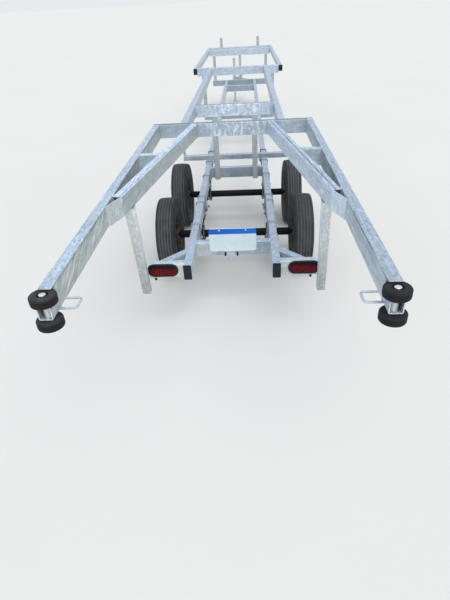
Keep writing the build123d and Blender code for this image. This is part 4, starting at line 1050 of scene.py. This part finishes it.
def sleeve_zinc(name):
    """Zinc, pale on the side that faces the middle of the trailer and dark on the outer side: painted light
    on the one and painted shade on the other.
    """
    made, shader, at, normal = new_finish(name, Metallic=0.2, Roughness=0.4)
    outward = normal.part(0) * (right_side(at) * 2 - 1)
    pale, dark = (0.80, 0.82, 0.82, 1), (0.035, 0.037, 0.042, 1)
    outward.within(-0.25, 0.55).blend(pale, dark).into(shader, "Base Color")
    return made


def upright_row(outline, x, y, z):
    """An outline of (across, up) pairs, set upright at x, y, z."""
    return np.column_stack([x + outline[:, 0], np.full(len(outline), y), z + outline[:, 1]])


PIN_R, PIN_HEAD_R = 11.4, 12.3
PIN_TALL = UPPER_ROLLER + ROLLER_T - LOWER_ROLLER + 3
PIN = [
    (0, 0), (0, 11.6), (1, PIN_HEAD_R), (3.4, PIN_HEAD_R), (3.6, PIN_R),
    (PIN_TALL - 3.6, PIN_R), (PIN_TALL - 3.4, PIN_HEAD_R), (PIN_TALL - 1, PIN_HEAD_R),
    (PIN_TALL, 11.2), (PIN_TALL + 0.5, 7.5), (PIN_TALL + 0.6, 0),
]
COLLAR = [(0, 11.45), (0, 20), (3.6, 20), (3.6, 11.45), (0, 11.45)]
COLLAR_ZS = (UP - 4.6, UP + 50.9)
SLEEVE_R, SLEEVE_BORE, SLEEVE_TALL = 15.5, 11.6, 43.2
SLEEVE = [
    (0, SLEEVE_BORE), (0, SLEEVE_R - 0.8), (0.8, SLEEVE_R), (SLEEVE_TALL - 0.8, SLEEVE_R),
    (SLEEVE_TALL, SLEEVE_R - 0.8), (SLEEVE_TALL, SLEEVE_BORE), (0, SLEEVE_BORE),
]
# The arm's top wall runs on over the open stub, to just short of the upper roller.
LIP_START, LIP_END, LIP_THICK = -4879.0, -4912.0, 4.6
LIP_LEFT = [(-19.5, 0.0), (-21.5, -0.5), (-23.6, -2.0), (-24.4, -LIP_THICK)]
LIP = np.array(LIP_LEFT + [(-across, up) for across, up in LIP_LEFT[::-1]])
LIP_ROWS = ((1, LIP_START), (1, LIP_END + 1.0), (0.98, LIP_END))
pins, sleeves, lips = [], [], []
for hand in (-1, 1):
    pins.append(on_pin(PIN, hand, LOWER_ROLLER - 2))
    pins += [on_pin(COLLAR, hand, z) for z in COLLAR_ZS]
    sleeves.append(on_pin(SLEEVE, hand, UP + 3.8))
    lips.append(stacked([upright_row(LIP * (share, 1), hand * ARM_X, y, UP_TOP) for share, y in LIP_ROWS]))
pin_zinc = bright_zinc("plated_pin", (0.80, 0.82, 0.84))
piece("roller_pins_plated", pins, pin_zinc, "chassis", ("roller_pins",))
piece("pin_sleeves", sleeves, sleeve_zinc("sleeve_zinc"), "chassis")
piece("arm_end_lips", lips, zinc_arm, "chassis")


# Tail lamps. Sealed oval lamps of red acrylic with a block of light cells behind ribbed optics, pushed into
# a black rubber grommet that fills the cut-out in each wing. Rubber boots take the wires out below the
# wings, and red plugs close two slots of the rear member.
def oval(length, height, steps):
    """Two half circles joined by straight runs, as (across, up) pairs evenly spaced by angle on each half."""
    r, reach = height / 2, (length - height) / 2
    t = np.linspace(-np.pi / 2, np.pi / 2, steps // 2)
    right = np.stack([reach + r * np.cos(t), r * np.sin(t)], -1)
    return np.concatenate([right, -right])


def oval_rings(x, z, rings):
    """Rows are ovals of a length and a height that stand out from the wing; the last row closes the face."""
    rows = [upright_row(oval(length, height, 48), x, WING_Y - out, z) for length, height, out in rings]
    return stacked(rows)


LAMP_XS, LAMP_Z = (-441.0, 452.0), 446.0
# Each row is a ring's length, its height and how far it stands out from the wing.
GROMMET = [(200, 92, 0), (200, 92, 4), (197, 89, 7), (191, 83, 8), (183, 75, 7), (181, 73, 3), (179, 71, 1)]
LENS = [(178, 70, 0.5), (178, 70, 5), (176, 68, 8.5), (171, 63, 10.5), (158, 52, 11.4), (134, 30, 11.8)]
CELL, CELL_OUT = 16.0, 10.6
CELL_DOME = [(0, 5.6), (1.0, 5.2), (1.8, 3.8), (2.2, 0)]
CELL_ROWS = ((-CELL, 7), (0.0, 9), (CELL, 7))
# Moves the finish's lattice, in cells, so that one of its rows runs along the lamps' middle height.
LATTICE_SHIFT = (0.375, 0.0, 0.625)
grommets, lenses = [], []
for x in LAMP_XS:
    grommets.append(oval_rings(x, LAMP_Z, GROMMET))
    lenses.append(oval_rings(x, LAMP_Z, LENS))
    for rise, count in CELL_ROWS:
        for number in range(count):
            cell_x = x + (number - count // 2) * CELL
            lenses.append(lathe(CELL_DOME, (cell_x, WING_Y - CELL_OUT, LAMP_Z + rise), (0, -1, 0), 12))
grommet_rubber = rubber("grommet_rubber", (0.020, 0.022, 0.027, 1), (0.075, 0.075, 0.085, 1), 0.35)
piece("lamp_grommets", grommets, grommet_rubber, "chassis", ("lamp_surrounds",))


def red_acrylic(name):
    """Near-black red, brighter where the light cells sit in a square lattice behind the face, each cell by
    its own amount, and darkest along the top row."""
    made, shader, at, _ = new_finish(name, Roughness=0.3, Specular_IOR_Level=0.14)
    in_cells = at.stretched(1000 / CELL, 0, 1000 / CELL).moved(*LATTICE_SHIFT)
    lattice = {"Vector": in_cells, "Scale": 1.0, "Randomness": 0.0}
    glow = at.node("TexVoronoi", {}, lattice).within(0.50, 0.18)
    lot = at.node("TexVoronoi", {}, lattice, "Color").part(0).within(0.0, 0.9)
    wash = at.noise(18, 3).within(0.4, 0.7)
    lower = at.part(2).within(0.468, 0.452)
    red = (glow * (0.35 + lot * 0.65) * 0.75 + wash * 0.25) * (0.12 + lower * 0.88)
    deep = lower.blend((0.010, 0.0022, 0.0052, 1), (0.022, 0.0020, 0.0045, 1))
    red.blend(deep, (0.27, 0.0045, 0.010, 1)).into(shader, "Base Color")
    return made


piece("lamp_lenses_red", lenses, red_acrylic("red_acrylic"), "chassis", ("lamp_lenses",))

BOOT = [(0, 0), (0, 11), (5, 11), (7, 8.5), (18, 8), (23, 4.5), (23, 0)]
BOOT_X, BOOT_Y = 497, -3690
PLUG_PLACES = ((-53.5, 399.0), (29.5, 398.0))
# Each row is a plug's share of its full size and how deep it lies behind the rear member's face.
PLUG_ROWS = ((1, 0.4), (1, -0.8), (0.86, -1.2))
boots = [lathe(BOOT, (x, BOOT_Y, LOW - 0.3), (0, 0, -1), 20) for x in (-BOOT_X, BOOT_X)]
standing = oval(32.0, 13.0, 28)[:, ::-1]
plugs = []
for x, z in PLUG_PLACES:
    rows = [upright_row(standing * share, x, REAR_MEMBER_Y + deep, z) for share, deep in PLUG_ROWS]
    plugs.append(stacked(rows))
plug_rubber = rubber("plug_rubber", (0.030, 0.006, 0.005, 1), (0.080, 0.022, 0.018, 1), 0.4)
piece("wire_boots", boots, grommet_rubber, "chassis")
piece("slot_plugs", plugs, plug_rubber, "chassis")


# Number plate. A blank pressed aluminium plate in white reflective sheet with a blue band along its top and
# a raised rim. It has a plated bolt near each corner, and the lower two go into the rear member.
PLATE_W, PLATE_H, PLATE_Z, PLATE_CORNER = 320.0, 170.0, 507.0, 19.0
# Each row is an outline's inset and how far it stands out from the rear member's face.
PLATE_ROWS = ((0, 0.4), (0, 1.2), (1.2, 2.4), (4.5, 2.8), (6.5, 1.8), (8, 1.4), (60, 1.4))
PLATE_BOLT_X, PLATE_BOLT_Z = 89.0, 72.0


def plate_row(inset, out):
    """The plate's outline, inset, with round corners."""
    corner = max(PLATE_CORNER - inset, 2.0)
    outline = rounded_outline(PLATE_W - 2 * inset, PLATE_H - 2 * inset, corner, 7)
    return upright_row(outline, 0.0, REAR_MEMBER_Y - out, PLATE_Z)


def plate_sheet(name):
    """Cloudy white, and blue between two heights, where it gets lighter to the right."""
    made, shader, at, _ = new_finish(name, Roughness=0.38, Specular_IOR_Level=0.25)
    band = at.part(2).between(0.5490, 0.5496, 0.5884, 0.5890)
    white = at.noise(30, 4, 0.6).within(0.5, 0.8).blend((0.66, 0.765, 0.82, 1), (0.58, 0.68, 0.75, 1))
    blue = at.part(0).within(-0.12, 0.12).blend((0.002, 0.125, 0.60, 1), (0.004, 0.16, 0.70, 1))
    band.blend(white, blue).into(shader, "Base Color")
    return made


plate = stacked([plate_row(*row) for row in PLATE_ROWS])
piece("number_plate_blank", [plate], plate_sheet("plate_sheet"), "chassis", ("number_plate",))
plate_bolts = []
for x in (-PLATE_BOLT_X, PLATE_BOLT_X):
    for z in (PLATE_Z - PLATE_BOLT_Z, PLATE_Z + PLATE_BOLT_Z):
        plate_bolts += bolt((x, REAR_MEMBER_Y - 1.3, z), (0, -1, 0), 9.0)
piece("plate_bolts", plate_bolts, pin_zinc, "chassis")


# End caps. Moulded slate-grey plastic plugs with round corners, 5 mm thick. They close the rear ends of the
# lower rails and of the platform's sides.
def moulded(name, colour, worn):
    """Plastic that goes over to its worn colour with a cloudy noise and has a fine leathery grain."""
    made, shader, at, _ = new_finish(name, Metallic=0.0, Specular_IOR_Level=0.2)
    cloud = at.noise(24, 5, 0.6).within(0.35, 0.8)
    cloud.blend(colour, worn).into(shader, "Base Color")
    (0.5 + cloud * 0.2).into(shader, "Roughness")
    at.noise(600, 2).relief(shader, 0.25, 0.0005)
    return made


cap_plastic = moulded("slate_plastic", (0.010, 0.015, 0.026, 1), (0.023, 0.031, 0.047, 1))
dress({"end_caps": cap_plastic})


# Coupler, latch and jack at the tongue. Pressed steel, zinc plated: a ball socket with a latch lever on top,
# and a tube jack on a bracket with a crank on its side, a cap wider than the tube and a round foot.
plated = bright_zinc("plated_steel", (0.62, 0.64, 0.66))
dress({"coupler": plated, "jack_tube": plated, "jack_leg": plated})
COUPLER_TOP = 500.6
# The lever's y, and its height over the coupler's top.
LEVER = ((4800, 2), (4830, 22), (4720, 34), (4690, 26))
LEVER_R, LEVER_BEND = 6.5, 9
COUPLER_BOLT_X, COUPLER_BOLT_YS = 22.0, (4640.0, 4710.0)
LOCK_NUT = [(0, 0), (0, 15), (5, 15), (9, 12), (9, 0)]
lever = [(0, y, COUPLER_TOP + up) for y, up in LEVER]
latch = [bent_rod(lever, (1, 0, 0), LEVER_R, LEVER_BEND)]
for y in COUPLER_BOLT_YS:
    for x in (-COUPLER_BOLT_X, COUPLER_BOLT_X):
        latch += bolt((x, y, COUPLER_TOP), (0, 0, 1), 17.0)
latch.append(lathe(LOCK_NUT, (0, 4820, COUPLER_TOP), (0, 0, 1), 24))
piece("coupler_latch", latch, plated, "chassis")

JACK_X, JACK_Y = -130.0, 4405.0
# The crank's reach ahead of the jack, and its height.
CRANK = ((30, 800), (78, 800), (78, 660), (150, 660))
CRANK_R, CRANK_BEND = 6.0, 12
HANDLE_REACH, HANDLE_Z = 100, 660
BRACKET_BOLT_XS, BRACKET_BOLT_ZS, BRACKET_HALF = (-100.0, -60.0), (420.0, 460.0), 38.0
HANDLE = [(0, 0), (0, 13), (6, 15), (80, 15), (88, 12), (90, 0)]
crank = [bent_rod([(JACK_X, JACK_Y + reach, z) for reach, z in CRANK], (1, 0, 0), CRANK_R, CRANK_BEND)]
crank.append(lathe(HANDLE, (JACK_X, JACK_Y + HANDLE_REACH, HANDLE_Z), (0, 1, 0), 20))
for x in BRACKET_BOLT_XS:
    for z in BRACKET_BOLT_ZS:
        crank += bolt((x, JACK_Y - BRACKET_HALF, z), (0, -1, 0), 15.0)
piece("jack_crank", crank, plated, "chassis")
